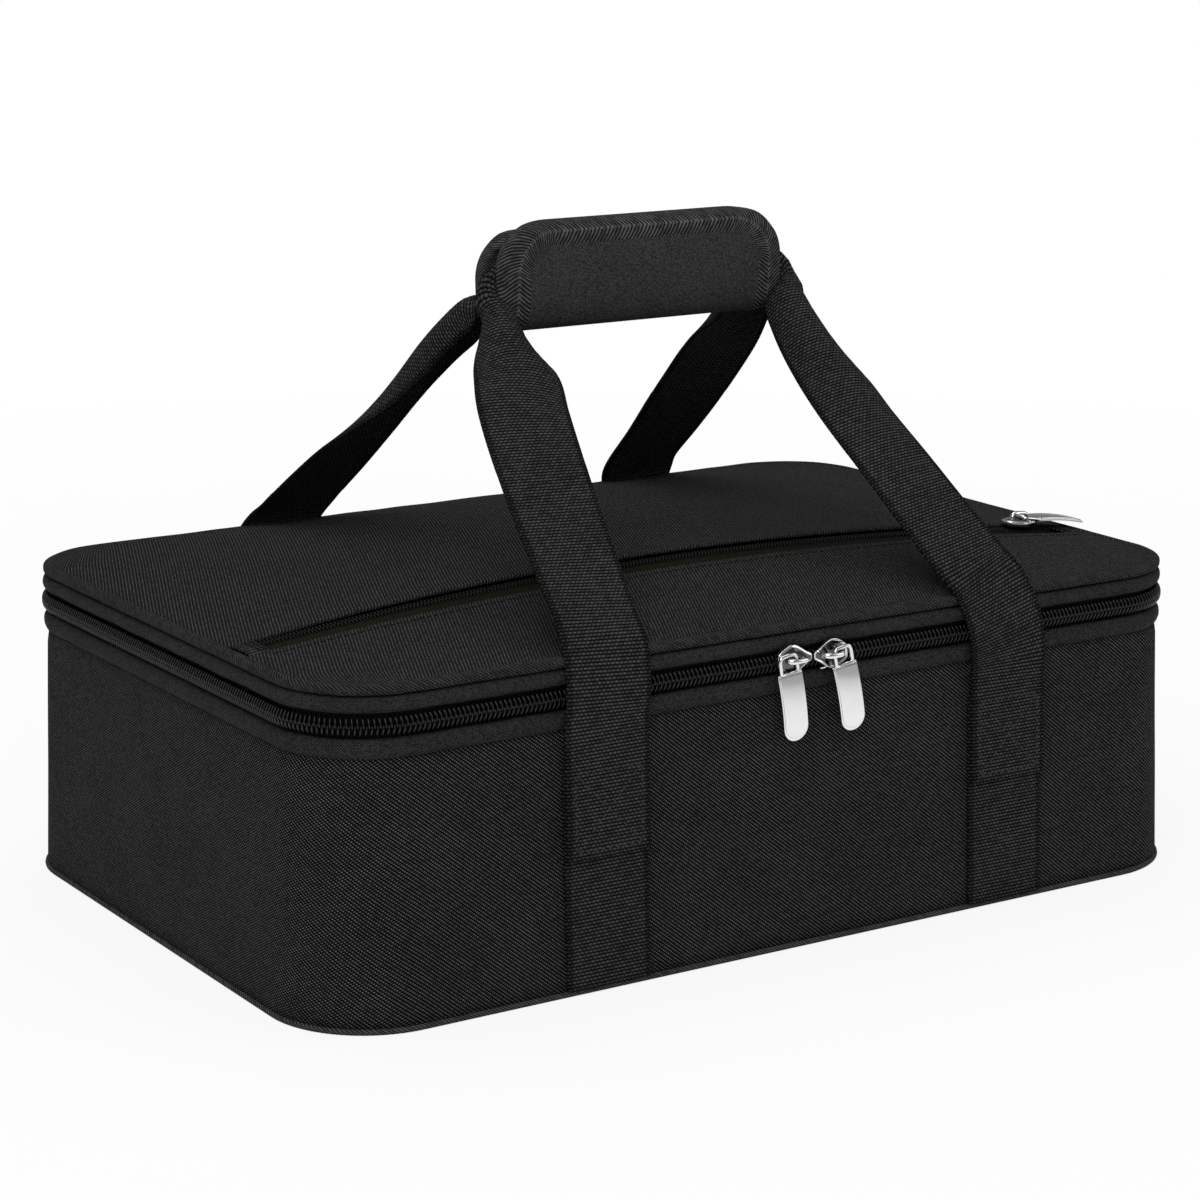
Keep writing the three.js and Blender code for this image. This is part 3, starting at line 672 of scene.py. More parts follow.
def round_off(bm: Mesh, geom: Sequence, offset: float, segments: int, affect: str = "EDGES") -> dict:
    """Bevels edges, or the corners of a flat face."""
    return bmesh.ops.bevel(
        bm, geom=geom, offset=offset, segments=segments, profile=0.5, affect=affect, material=-1
    )


def edges_of(verts: Sequence[bmesh.types.BMVert]) -> list[bmesh.types.BMEdge]:
    """Edges that meet at points, each once."""
    return list({edge for vert in verts for edge in vert.link_edges})


def block(low: Vector, high: Vector, rounding: float) -> Mesh:
    """A box with rounded edges.

    Args:
        low: its least corner.
        high: its greatest corner.
        rounding: size of the rounding.

    Returns:
        The box.
    """
    bm = bmesh.new()
    place = Matrix.Translation((low + high) / 2) @ Matrix.Diagonal((*(high - low), 1))
    bmesh.ops.create_cube(bm, size=1.0, matrix=place)
    round_off(bm, bm.edges, rounding, 3)
    return bm


def absorb(bm: Mesh, other: Mesh) -> None:
    """Adds another shape.

    Args:
        bm: the shape that grows.
        other: the shape that is added, and used up.
    """
    mesh = bpy.data.meshes.new("absorbed")
    other.to_mesh(mesh)
    other.free()
    bm.from_mesh(mesh)
    bpy.data.meshes.remove(mesh)


def copies(tool: Mesh, places: Sequence[Matrix]) -> Mesh:
    """Repeats a small shape.

    Args:
        tool: the shape, which is used up.
        places: where each copy goes.

    Returns:
        All the copies as one bmesh.
    """
    mesh = bpy.data.meshes.new("repeated")
    tool.to_mesh(mesh)
    tool.free()
    bm = bmesh.new()
    count = len(mesh.vertices)
    for place in places:
        bm.from_mesh(mesh)
        bm.verts.ensure_lookup_table()
        bmesh.ops.transform(bm, matrix=place, verts=bm.verts[-count:])
    bpy.data.meshes.remove(mesh)
    return bm


def frame_at(origin: Vector, along: Vector, out: Vector) -> Matrix:
    """Matrix of a place: X along, Z out.

    Args:
        origin: the place.
        along: the way along, which needn't be square to the way out.
        out: the way out.

    Returns:
        The matrix.
    """
    z = out.normalized()
    y = z.cross(along).normalized()
    x = y.cross(z)
    return Matrix.Translation(origin) @ Matrix((x, y, z)).transposed().to_4x4()


def oval(inner: float, outer: float, bottom: float, top: float, points: int, power: float) -> list[Pair]:
    """A closed section with soft corners.

    Args:
        inner: its inner offset.
        outer: its outer offset.
        bottom: its least height.
        top: its greatest height.
        points: how many points it has.
        power: one for an ellipse, less for squarer corners.

    Returns:
        Pairs of offset and height.
    """
    section = []
    for step in range(points):
        angle = 2 * math.pi * step / points
        across, rise = bulge(math.cos(angle), power), bulge(math.sin(angle), power)
        section.append((lerp(inner, outer, (1 + across) / 2), lerp(bottom, top, (1 + rise) / 2)))
    return section


def along_curve(points: Sequence[Vector], share: float) -> Vector:
    """Point on a smooth curve through points.

    Args:
        points: the curve's points.
        share: how far along, from nought at the first point to one at the last.

    Returns:
        The point.
    """
    place = clamp(share) * (len(points) - 1)
    index = min(int(place), len(points) - 2)
    t = place - index
    before = points[max(index - 1, 0)]
    start, end = points[index], points[index + 1]
    after = points[min(index + 2, len(points) - 1)]
    return 0.5 * (
        2 * start
        + (end - before) * t
        + (2 * before - 5 * start + 4 * end - after) * t**2
        + (3 * start - before - 3 * end + after) * t**3
    )


def even_shares(points: Sequence[Vector], count: int) -> list[float]:
    """Shares of a curve through points that lie at equal distances along it.

    Args:
        points: the curve's points.
        count: number of equal steps.

    Returns:
        The shares, one more than there are steps.
    """
    fine = 60 * len(points)
    spots = [along_curve(points, step / fine) for step in range(fine + 1)]
    gone = [0.0, *accumulate((after - before).length for before, after in pairwise(spots))]
    shares, index = [], 0
    for step in range(count + 1):
        wanted = gone[-1] * step / count
        while index < fine - 1 and gone[index + 1] < wanted:
            index += 1
        stretch = max(gone[index + 1] - gone[index], 1e-9)
        shares.append((index + (wanted - gone[index]) / stretch) / fine)
    return shares


@dataclass(frozen=True)
class Outline:
    """A rectangle with round corners, as of the rim seen from above."""

    half_length: float
    half_depth: float
    radius: float

    @property
    def core_x(self) -> float:
        """Half the straight part of the long sides."""
        return self.half_length - self.radius

    @property
    def core_y(self) -> float:
        """Half the straight part of the short sides."""
        return self.half_depth - self.radius

    @property
    def arc(self) -> float:
        """Length of one corner."""
        return QUARTER * self.radius

    @property
    def length(self) -> float:
        """Length all round."""
        return 4 * (self.arc + self.core_x + self.core_y)

    def legs(self) -> list[tuple[Vector, float, Vector, float]]:
        """Corner centre, start angle, heading and straight length, from the rear left corner by the front."""
        x, y = self.core_x, self.core_y
        return [
            (Vector((-x, y, 0)), QUARTER, Vector((0, -1, 0)), 2 * y),
            (Vector((-x, -y, 0)), 2 * QUARTER, Vector((1, 0, 0)), 2 * x),
            (Vector((x, -y, 0)), 3 * QUARTER, Vector((0, 1, 0)), 2 * y),
            (Vector((x, y, 0)), 4 * QUARTER, Vector((-1, 0, 0)), 2 * x),
        ]

    def around(self, point: Vector) -> float:
        """Distance of a point along the outline, from the rear left corner round by the front.

        Args:
            point: a point on or near the outline.

        Returns:
            The distance.
        """
        gone = 0.0
        for centre, start, heading, straight in self.legs():
            local = point - centre
            turn = (math.atan2(local.y, local.x) - start) % (2 * math.pi)
            ahead = local.dot(heading)
            out = local.dot(Vector((math.cos(start + QUARTER), math.sin(start + QUARTER), 0)))
            if turn <= QUARTER:
                return gone + turn * self.radius
            if 0 <= ahead <= straight and out > 0:
                return gone + self.arc + ahead
            gone += self.arc + straight
        return gone

    def station(self, distance: float) -> tuple[Vector, Vector]:
        """Point on the outline at a distance along it.

        Args:
            distance: distance from the rear left corner round by the front.

        Returns:
            The point, and the direction that faces out there.
        """
        left = distance % self.length
        for centre, start, heading, straight in self.legs():
            angle = start + min(left / self.radius, QUARTER)
            out = Vector((math.cos(angle), math.sin(angle), 0))
            if left <= self.arc + straight:
                return centre + out * self.radius + heading * max(0.0, left - self.arc), out
            left -= self.arc + straight
        return self.station(0.0)

    def inside(self, x: float, y: float, inset: float) -> Pair:
        """Moves a point of the square corners into the round ones.

        Args:
            x: the point's place along the length.
            y: its place along the depth.
            inset: how far in from the outline the corners end.

        Returns:
            The moved point.
        """
        radius = self.radius - inset
        over_x = max(0.0, abs(x) - self.core_x) / radius
        over_y = max(0.0, abs(y) - self.core_y) / radius
        if over_x == 0.0 or over_y == 0.0:
            return x, y
        kept_x = over_x * math.sqrt(max(0.0, 1 - over_y**2 / 2))
        kept_y = over_y * math.sqrt(max(0.0, 1 - over_x**2 / 2))
        return (
            math.copysign(self.core_x + kept_x * radius, x),
            math.copysign(self.core_y + kept_y * radius, y),
        )

    def plate(
        self, flat: Flat, inset: float, columns: int, rows: int, height: Callable[[float, float], float]
    ) -> Mesh:
        """A sheet with the outline's round corners.

        Args:
            flat: gives the place in a rectangle for two shares.
            inset: how far in from the outline the rectangle ends.
            columns: faces along the length.
            rows: faces along the depth.
            height: gives the sheet's height at a place.

        Returns:
            The sheet.
        """

        def place(u: float, v: float) -> Vector:
            """A point of the sheet."""
            x, y = self.inside(*flat(u, v), inset)
            return Vector((x, y, height(x, y)))

        return drape(columns, rows, place, flat)

    def sweep(self, section: Sequence[Pair], step: float, closed: bool = True, full: bool = True) -> Mesh:
        """Draws a section round the outline.

        Args:
            section: pairs of offset from the outline and height.
            step: length of a face along the sides.
            closed: whether the section joins up with itself.
            full: whether it goes right round, or leaves the straight rear side open.

        Returns:
            The strip, with metres along the outline and across the strip as its UV.
        """
        bm = bmesh.new()
        girth = bm.verts.layers.float.new("girth")
        verts = [bm.verts.new((-self.core_x, self.half_depth + out, height)) for out, height in section]
        for before, after in pairwise(verts):
            after[girth] = before[girth] + (after.co - before.co).length
        around = verts[-1][girth] + (verts[0].co - verts[-1].co).length
        edges = [bm.edges.new(pair) for pair in pairwise([*verts, verts[0]] if closed else verts)]
        front = [*verts, *edges]
        legs = self.legs()
        for index, (centre, _, heading, straight) in enumerate(legs):
            corner_steps = max(6, round(self.arc / step))
            turn = bmesh.ops.spin(bm, geom=front, cent=centre, axis=UP, angle=QUARTER, steps=corner_steps)
            front = turn["geom_last"]
            if full or index < len(legs) - 1:
                count = max(2, round(straight / step))
                move = heading * straight / count
                run = bmesh.ops.spin(bm, geom=front, cent=centre, axis=UP, dvec=move, angle=0.0, steps=count)
                front = run["geom_last"]
        bmesh.ops.remove_doubles(bm, verts=bm.verts, dist=0.005 * MM)
        layer = bm.loops.layers.uv.new("cloth")
        for face in bm.faces:
            turns = [self.around(loop.vert.co) for loop in face.loops]
            rises = [loop.vert[girth] for loop in face.loops]
            for loop, turn, rise in zip(face.loops, turns, rises):
                wrapped = turn + self.length * (max(turns) - turn > self.length / 2)
                risen = rise + around * (closed and max(rises) - rise > around / 2)
                loop[layer].uv = (wrapped, risen)
        if full:
            bmesh.ops.recalc_face_normals(bm, faces=bm.faces)
            return bm
        return close_up(bm)


@dataclass(frozen=True)
class Trim:
    """A strip of even section round the rim, for one CAD node. As it is set here, it is a padded bead."""

    name: str
    node: str
    body: str
    finish: Finish = BEAD_CLOTH
    slot: str = "bead"
    depth: float = 4.5 * MM
    width: float = 0.0
    drop: float = 0.0
    points: int = 22
    power: float = 0.9
    step: float = 3.5 * MM
    ripple: float = 0.28 * MM
    wavelength: float = 9 * MM
    fill: float = 0.8
    full: bool = True

    def build(self, outline: Outline) -> None:
        """Builds the strip, as wide as given, or else to a depth inside the outline.

        Args:
            outline: the rim that it follows.
        """
        low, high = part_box(self.node)
        outer = high.x - outline.half_length
        inner = outer - self.width if self.width else -self.depth
        section = oval(inner, outer, low.z - self.drop, high.z, self.points, self.power)
        bm = outline.sweep(section, self.step, full=self.full)
        if self.ripple:
            ruffle(bm, self.ripple, self.wavelength)
        strip = piece_of(self.name, bm, self.finish)
        fasten(strip, self.slot, self.body, self.node)


@dataclass(frozen=True)
class Stitching:
    """A run of sewn stitches that lie on cloth."""

    dash: float
    pitch: float
    width: float
    thread: Finish = THREAD

    def run(self, points: Sequence[Vector], out: Vector) -> list[Matrix]:
        """Places of the stitches along a line.

        Args:
            points: the line's points.
            out: the direction off the cloth.

        Returns:
            A matrix for each stitch.
        """
        places = []
        for start, end in pairwise(points):
            count = max(1, round((end - start).length / self.pitch))
            for step in range(count):
                middle = start.lerp(end, (step + 0.5) / count)
                places.append(frame_at(middle, end - start, out))
        return places

    def piece(self, name: str, places: Sequence[Matrix]) -> Piece:
        """All the stitches as one piece.

        Args:
            name: the piece's name.
            places: a matrix for each stitch.

        Returns:
            The piece.
        """
        bm = bmesh.new()
        size = Matrix.Diagonal((self.dash / 2, self.width / 2, self.width / 2, 1))
        bmesh.ops.create_icosphere(bm, subdivisions=1, radius=1.0, matrix=size)
        return piece_of(name, copies(bm, places), self.thread)


# Case


@dataclass
class Case:
    """Side wall, base, liner and the bound rim."""

    outline: Outline
    wall_top: float
    splay: float = 4.0 * MM
    cloth: float = 1.2 * MM
    tuck: float = 2.5 * MM
    tuck_in: float = 0.7 * MM
    wall_rows: int = 16
    floor_gap: float = 0.1 * MM
    piping_inner: float = 2.2 * MM
    piping_outer: float = 5.0 * MM
    piping_top: float = 2.5 * MM
    piping_step: float = 4.0 * MM
    bead_drop: float = 1.8 * MM
    binding_width: float = 2.8 * MM
    liner_offset: float = -7.6 * MM
    liner_fillet: float = 7.0 * MM
    liner_lap: float = 1.0 * MM
    liner_rows: int = 12
    fillet_steps: int = 6
    face: float = 7.0 * MM

    def wall_offset(self, height: float) -> float:
        """How far the wall's outer face stands out at a height."""
        return self.splay * (1 - height / self.wall_top)

    def build(self) -> None:
        """Builds all its pieces."""
        self.wall()
        self.base()
        self.liner()
        self.rim()

    def wall(self) -> None:
        """The padded cloth wall, tucked in at its top seam."""
        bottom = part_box("side_wall_fabric")[0].z
        outer = []
        for row in range(self.wall_rows + 1):
            height = lerp(bottom, self.wall_top, row / self.wall_rows)
            pulled = self.tuck_in * (1 - smooth((self.wall_top - height) / self.tuck))
            outer.append((self.wall_offset(height) - pulled, height))
        inner = [(out - self.cloth, height) for out, height in reversed(outer)]
        bm = self.outline.sweep(outer + inner, self.face)
        ruffle(bm, 0.18 * MM, 45 * MM)
        wall = piece_of("side_wall", bm, WALL_CLOTH)
        fasten(wall, "wall_cloth", "carrier_body", "side_wall_fabric")

    def base(self) -> None:
        """Bottom cloth, the piping round it and the board's finish."""
        low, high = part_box("bottom_fabric")
        under = low.z + self.floor_gap
        reach = high.x - self.outline.half_length
        flat = spread(low.x, high.x, low.y, high.y)
        bm = self.outline.plate(flat, -reach, 84, 56, lambda x, y: under)
        bmesh.ops.reverse_faces(bm, faces=bm.faces)
        bottom = piece_of("bottom_cloth", bm, WALL_CLOTH)
        thicken(bottom, high.z - low.z)
        fasten(bottom, "wall_cloth", "carrier_body", "bottom_fabric")
        section = oval(self.piping_inner, self.piping_outer, under, self.piping_top, 12, 0.9)
        piping = piece_of("base_piping_cord", self.outline.sweep(section, self.piping_step), PIPING_TWILL)
        fasten(piping, "binding", "carrier_body", "base_piping")
        board = bpy.data.objects["base_board"].data
        board.materials.clear()
        board.materials.append(BOARD.material())

    def liner(self) -> None:
        """Wipe-clean film over the wall and floor foam."""
        floor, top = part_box("liner_floor")[1].z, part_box("liner_front_wall")[1].z
        section = []
        for step in range(self.fillet_steps + 1):
            angle = QUARTER * step / self.fillet_steps
            out = self.liner_offset - self.liner_fillet * (1 - math.sin(angle))
            section.append((out, floor + self.liner_fillet * (1 - math.cos(angle))))
        start = section[-1][1]
        for row in range(1, self.liner_rows + 1):
            section.append((self.liner_offset, lerp(start, top, row / self.liner_rows)))
        bm = self.outline.sweep(section, self.face, closed=False)
        ruffle(bm, 0.5 * MM, 20 * MM)
        if sum(face.normal.dot(face.calc_center_median()) for face in bm.faces) > 0:
            bmesh.ops.reverse_faces(bm, faces=bm.faces)
        walls = piece_of("liner_wall_film", bm, LINER)
        thicken(walls, FILM)
        sides = [f"liner_{side}_wall" for side in ("left", "right", "front", "rear")]
        corners = [f"liner_{side}_{hand}_corner" for side in ("front", "rear") for hand in ("left", "right")]
        fasten(walls, "liner", "carrier_body", *sides, *corners, "wall_foam")
        inset = self.liner_fillet - self.liner_offset - self.liner_lap
        reach_x, reach_y = self.outline.half_length - inset, self.outline.half_depth - inset

        def height(x: float, y: float) -> float:
            """Height of the floor's film, which is faintly rippled."""
            return floor + noise.noise(Vector((x, y, 0)) / (30 * MM)) * 0.35 * MM

        bm = self.outline.plate(spread(-reach_x, reach_x, -reach_y, reach_y), inset, 80, 52, height)
        sheet = piece_of("liner_floor_film", bm, LINER)
        thicken(sheet, FILM)
        fasten(sheet, "liner", "carrier_body", "liner_floor", "floor_foam")

    def rim(self) -> None:
        """Padded bead on the wall's top and the binding inside it."""
        Trim("rim_bead_cloth", "rim_bead", "carrier_body", drop=self.bead_drop).build(self.outline)
        Trim(
            "rim_inner_trim",
            "rim_inner_binding",
            "carrier_body",
            EDGE_TWILL,
            "binding",
            width=self.binding_width,
            points=16,
            power=0.6,
            ripple=0.15 * MM,
            wavelength=12 * MM,
            fill=0.0,
        ).build(self.outline)


# Zips


@dataclass
class Zips:
    """The main zip round the rim and the pocket zip on the lid: tapes, coils and stops."""

    outline: Outline
    lid: Lid
    pitch: float = 2.0 * MM
    wire: float = 0.47 * MM
    arch: float = 2.5 * MM
    slant: float = 8.0
    head: float = 0.8 * MM
    tail: float = 1.3 * MM
    skew: float = 0.5
    tape_width: float = 0.8 * MM
    stop_rounding: float = 0.5 * MM
    pocket_tape_depth: float = 1.5 * MM
    pocket_tape_inset: float = 4.8 * MM
    pocket_tape: float = 0.5 * MM
    pocket_pitch: float = 1.6 * MM
    pocket_wire: float = 0.45 * MM
    pocket_arch: float = 1.6 * MM
    pocket_overlap: float = 0.2 * MM
    pocket_forward: float = 0.8 * MM
    pocket_depth: float = 1.8 * MM

    def build(self) -> None:
        """Builds all its pieces."""
        for name, body, lean in (("lower", "carrier_body", -1), ("upper", "lid", 1)):
            self.tape(f"{name}_zip_tape", body)
            self.coil(f"{name}_zip_coil", body, lean)
        for hand in ("left", "right"):
            node = f"zip_stop_{hand}"
            stop = piece_of(f"{node}_moulding", block(*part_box(node), self.stop_rounding), COIL)
            fasten(stop, "zip_coil", "carrier_body", node)
        self.pocket()

    def tape(self, node: str, body: str) -> None:
        """A woven tape behind one row of the coil.

        Args:
            node: the CAD node that it stands for.
            body: the body that carries it.
        """
        Trim(
            f"{node}_cloth",
            node,
            body,
            ZIP_TAPE,
            "zip_tape",
            width=self.tape_width,
            points=14,
            power=0.4,
            step=5 * MM,
            ripple=0.0,
            fill=0.0,
            full=False,
        ).build(self.outline)

    def tooth(self, half: float, rise: float, wire: float, skew: float) -> Mesh:
        """One loop of the coil, X along the chain, Y across it and Z out.

        Args:
            half: half its reach across the chain.
            rise: height of the arch.
            wire: the wire's radius.
            skew: how far the arch leans to its head, which is at +Y.

        Returns:
            The loop.
        """
        bm = bmesh.new()
        ring = bmesh.ops.create_circle(bm, segments=6, radius=wire)["verts"]
        bmesh.ops.translate(bm, verts=ring, vec=(half - wire, 0, 0))
        bmesh.ops.spin(bm, geom=[*ring, *edges_of(ring)], axis=(0, 1, 0), angle=-math.pi, steps=6)
        bmesh.ops.rotate(bm, verts=bm.verts, matrix=Matrix.Rotation(QUARTER, 3, "Z"))
        bmesh.ops.scale(bm, verts=bm.verts, vec=(1, 1, rise / half))
        for vert in bm.verts:
            vert.co.y += skew * max(vert.co.z, 0.0)
        return close_up(bm)

    def coil(self, node: str, body: str, lean: int) -> None:
        """One row of loops round the rim, whose heads reach between those of the other row.

        Args:
            node: the CAD node that it stands for.
            body: the body that carries it.
            lean: -1 for the lower row and 1 for the upper one.
        """
        low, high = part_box(node)
        inner = high.x - self.outline.half_length - self.arch
        reach = self.outline.length - 2 * self.outline.core_x
        count = int(reach / self.pitch)
        turn = math.radians(lean * self.slant) + (math.pi if lean > 0 else 0.0)
        middle = (low.z + high.z + lean * (self.tail - self.head)) / 2
        places = []
        for index in range(count):
            point, out = self.outline.station((index + 0.5 + lean / 4) * reach / count)
            point.z = middle
            places.append(frame_at(point + out * inner, UP.cross(out), out) @ Matrix.Rotation(turn, 4, "Z"))
        half = (high.z - low.z + self.tail + self.head) / 2
        tooth = self.tooth(half, self.arch, self.wire, self.skew)
        fasten(piece_of(f"{node}_loops", copies(tooth, places), COIL), "zip_coil", body, node)

    def pocket(self) -> None:
        """Tape and coil of the lid's pocket."""
        low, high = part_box("pocket_zip_tape")
        bm = self.lid.layer(low.y, high.y, self.pocket_tape_depth, self.pocket_tape_inset, 90, 12)
        tape = piece_of("pocket_tape_cloth", bm, POCKET_TAPE)
        thicken(tape, self.pocket_tape)
        fasten(tape, "zip_tape", "lid", "pocket_zip_tape")
        low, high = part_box("pocket_zip_coil")
        middle, quarter = (low.y + high.y) / 2, (high.y - low.y) / 4
        count = int((high.x - low.x) / self.pocket_pitch)
        places = []
        for index in range(count):
            x = lerp(low.x, high.x, (index + 0.5) / count)
            for row in (-1, 1):
                y = middle + row * quarter - self.pocket_forward
                out = Vector((-self.lid.slope(x, y), 0, 1))
                point = Vector((x, y, self.lid.surface(x, y) - self.pocket_depth))
                slant = Matrix.Rotation(math.radians(row * self.slant), 4, "Z")
                places.append(frame_at(point, RIGHT, out) @ slant)
        tooth = self.tooth(quarter + self.pocket_overlap, self.pocket_arch, self.pocket_wire, 0.0)
        # The pocket coil's darker colour is painted shade under the rear panel's lip.
        coil = piece_of("pocket_coil_loops", copies(tooth, places), SHADED_POCKET_COIL)
        fasten(coil, "zip_coil", "lid", "pocket_zip_coil")


# Lid


@dataclass
class Lid:
    """Crowned lid: two panels, pocket tabs, padded edge, liner and the hinge strip."""

    outline: Outline
    edge: float
    crown: float = 14.5 * MM
    power: float = 2.5
    cloth: float = 0.5 * MM
    edge_inset: float = 2.5 * MM
    panel_inset: float = 2.3 * MM
    quilt_inset: float = 4.8 * MM
    hem: float = 0.9 * MM
    hem_rows: int = 6
    topstitch: float = 5.0 * MM
    topstitch_inset: float = 12.0 * MM
    topstitch_steps: int = 60
    gape: float = 1.6 * MM
    gape_reach: float = 16.0 * MM
    tab_cloth: float = 0.9 * MM
    tab_puff: float = 0.5 * MM
    tab_sink: float = 0.2 * MM
    bead_drop: float = 1.0 * MM
    hinge_lap: float = 1.0 * MM

    def surface(self, x: float, y: float) -> float:
        """Height of the lid's outer cloth.

        Args:
            x: place along the length.
            y: place along the depth.

        Returns:
            The height.
        """
        along = max(0.0, 1 - (x / (self.outline.half_length - self.edge_inset)) ** 2)
        across = max(0.0, 1 - abs(y / (self.outline.half_depth - self.edge_inset)) ** self.power)
        return self.edge + self.crown * along * across

    def slope(self, x: float, y: float) -> float:
        """How steeply the outer cloth rises along the length."""
        return (self.surface(x + MM, y) - self.surface(x - MM, y)) / (2 * MM)

    def layer(self, front: float, rear: float, depth: float, inset: float, columns: int, rows: int) -> Mesh:
        """A sheet that follows the crown.

        Args:
            front: its front edge.
            rear: its rear edge.
            depth: how far below the outer cloth it lies.
            inset: how far in from the rim it ends.
            columns: faces along the length.
            rows: faces along the depth.

        Returns:
            The sheet.
        """
        reach = self.outline.half_length - inset
        flat = spread(-reach, reach, front, rear)
        return self.outline.plate(flat, inset, columns, rows, lambda x, y: self.surface(x, y) - depth)

    def build(self) -> None:
        """Builds all its pieces."""
        limit = self.outline.half_depth - self.panel_inset
        front_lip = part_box("lid_front_panel")[1].y
        rear_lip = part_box("lid_rear_panel")[0].y
        self.panel("front", front_lip, -limit, 20)
        self.panel("rear", rear_lip, limit, 44)
        self.topstitching(front_lip - self.topstitch)
        self.tab("left")
        self.tab("right")
        self.edging()
        self.inside()
        self.hinge()

    def panel(self, side: str, lip: float, far: float, rows: int) -> None:
        """One outer panel, with its edge at the pocket rolled under.

        Args:
            side: front or rear.
            lip: the edge at the pocket.
            far: the edge at the rim.
            rows: faces from one to the other.
        """
        reach = self.outline.half_length - self.panel_inset
        depth = abs(far - lip)
        way = math.copysign(1.0, far - lip)
        roll = math.pi * self.hem

        def cut(v: float) -> float:
            """Distance from the lip, negative on the hem."""
            row = v * (rows + self.hem_rows)
            if row < self.hem_rows:
                return lerp(-roll, 0, row / self.hem_rows)
            return lerp(0, depth, (row - self.hem_rows) / rows)

        def place(u: float, v: float) -> Vector:
            """A point of the panel. The rear panel's lip gapes."""
            gone = cut(v)
            x, y = self.outline.inside(lerp(-reach, reach, u), lip + way * max(gone, 0.0), self.panel_inset)
            z = self.surface(x, y)
            if way > 0:
                z += self.gape * (1 - smooth(gone / self.gape_reach)) * (1 - (x / reach) ** 4)
            if gone < 0:
                angle = -gone / self.hem
                return Vector((x, y - way * self.hem * math.sin(angle), z - self.hem * (1 - math.cos(angle))))
            swell = noise.noise(Vector((x, y, 0)) / (70 * MM)) * 0.5 * MM
            return Vector((x, y, z + swell * smooth(gone / (20 * MM))))

        def cloth(u: float, v: float) -> Pair:
            """UV of the same point."""
            return lerp(-reach, reach, u), lip + way * cut(v)

        bm = drape(100, rows + self.hem_rows, place, cloth)
        bm.normal_update()
        if sum(face.normal.z for face in bm.faces) < 0:
            bmesh.ops.reverse_faces(bm, faces=bm.faces)
        panel = piece_of(f"lid_{side}_cloth", bm, LID_CLOTH)
        thicken(panel, self.cloth)
        fasten(panel, "lid_cloth", "lid", f"lid_{side}_panel")

    def topstitching(self, y: float) -> None:
        """Dashes sewn along the front edge of the pocket.

        Args:
            y: the seam's place along the depth.
        """
        reach = self.outline.half_length - self.topstitch_inset
        points = []
        for step in range(self.topstitch_steps + 1):
            x = lerp(-reach, reach, step / self.topstitch_steps)
            points.append(Vector((x, y, self.surface(x, y) + 0.1 * MM)))
        stitches = Stitching(dash=2.6 * MM, pitch=3.8 * MM, width=0.75 * MM)
        fasten(stitches.piece("pocket_topstitch", stitches.run(points, UP)), "lid_cloth", "lid")

    def tab(self, hand: str) -> None:
        """A sewn tab at one end of the pocket zip, with two bars of close stitches.

        Args:
            hand: left or right.
        """
        node = f"pocket_end_tab_{hand}"
        low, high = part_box(node)
        flat = spread(low.x, high.x, low.y, high.y)

        def place(u: float, v: float) -> Vector:
            """A point of the tab, which is puffed up between its edges."""
            x, y = flat(u, v)
            puff = self.tab_puff * math.sin(math.pi * v) ** 0.5
            return Vector((x, y, self.surface(x, y) + puff - self.tab_sink))

        tab = piece_of(f"{node}_cloth", drape(8, 14, place, lambda u, v: flat(u, v)[::-1]), TAB_CLOTH)
        thicken(tab, self.tab_cloth)
        fasten(tab, "lid_cloth", "lid", node)
        bars = Stitching(dash=1.5 * MM, pitch=1.0 * MM, width=0.55 * MM)
        places = []
        for share in (0.15, 0.4):
            x = lerp(low.x, high.x, share if hand == "right" else 1 - share)
            ends = [Vector((x, y, self.surface(x, y) + 0.4 * MM)) for y in (low.y + MM, high.y - MM)]
            places += bars.run(ends, UP)
        fasten(bars.piece(f"{node}_bartack", places), "lid_cloth", "lid")

    def edging(self) -> None:
        """Padded bead and twill binding round the lid."""
        Trim("lid_bead_cloth", "lid_edge_bead", "lid", drop=self.bead_drop).build(self.outline)
        Trim(
            "lid_binding_twill",
            "lid_edge_binding",
            "lid",
            EDGE_TWILL,
            "binding",
            power=0.78,
            ripple=0.15 * MM,
            wavelength=14 * MM,
            fill=0.0,
        ).build(self.outline)

    def inside(self) -> None:
        """Film under the lid's foam, seen when the lid is open."""
        limit = self.outline.half_depth - self.quilt_inset
        depth = self.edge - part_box("lid_liner")[0].z
        bm = self.layer(-limit, limit, depth - FILM, self.quilt_inset, 90, 60)
        bmesh.ops.reverse_faces(bm, faces=bm.faces)
        ruffle(bm, 0.5 * MM, 24 * MM)
        film = piece_of("lid_liner_film", bm, LINER)
        thicken(film, FILM)
        fasten(film, "liner", "lid", "lid_liner", "lid_foam", "pocket_lining")

    def hinge(self) -> None:
        """Cloth strip along the rear, between the wall and the lid."""
        low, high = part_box("rear_hinge_strip")
        lapped = spread(low.x, high.x, low.z - self.hinge_lap, high.z + self.hinge_lap)

        def place(u: float, v: float) -> Vector:
            """A point of the strip, which laps over the cloth above and below."""
            x, z = lapped(u, v)
            return Vector((x, high.y, z))

        bm = drape(60, 12, place, spread(low.x, high.x, low.z, high.z))
        bmesh.ops.reverse_faces(bm, faces=bm.faces)
        strip = piece_of("hinge_strip_cloth", bm, WALL_CLOTH)
        thicken(strip, high.y - low.y)
        middle = (low + high) / 2
        ends = ((0, middle.y, low.z), (0, middle.y, high.z))
        bend(strip, "wall_cloth", ("carrier_body", "lid"), ends, "rear_hinge_strip")


# Handles


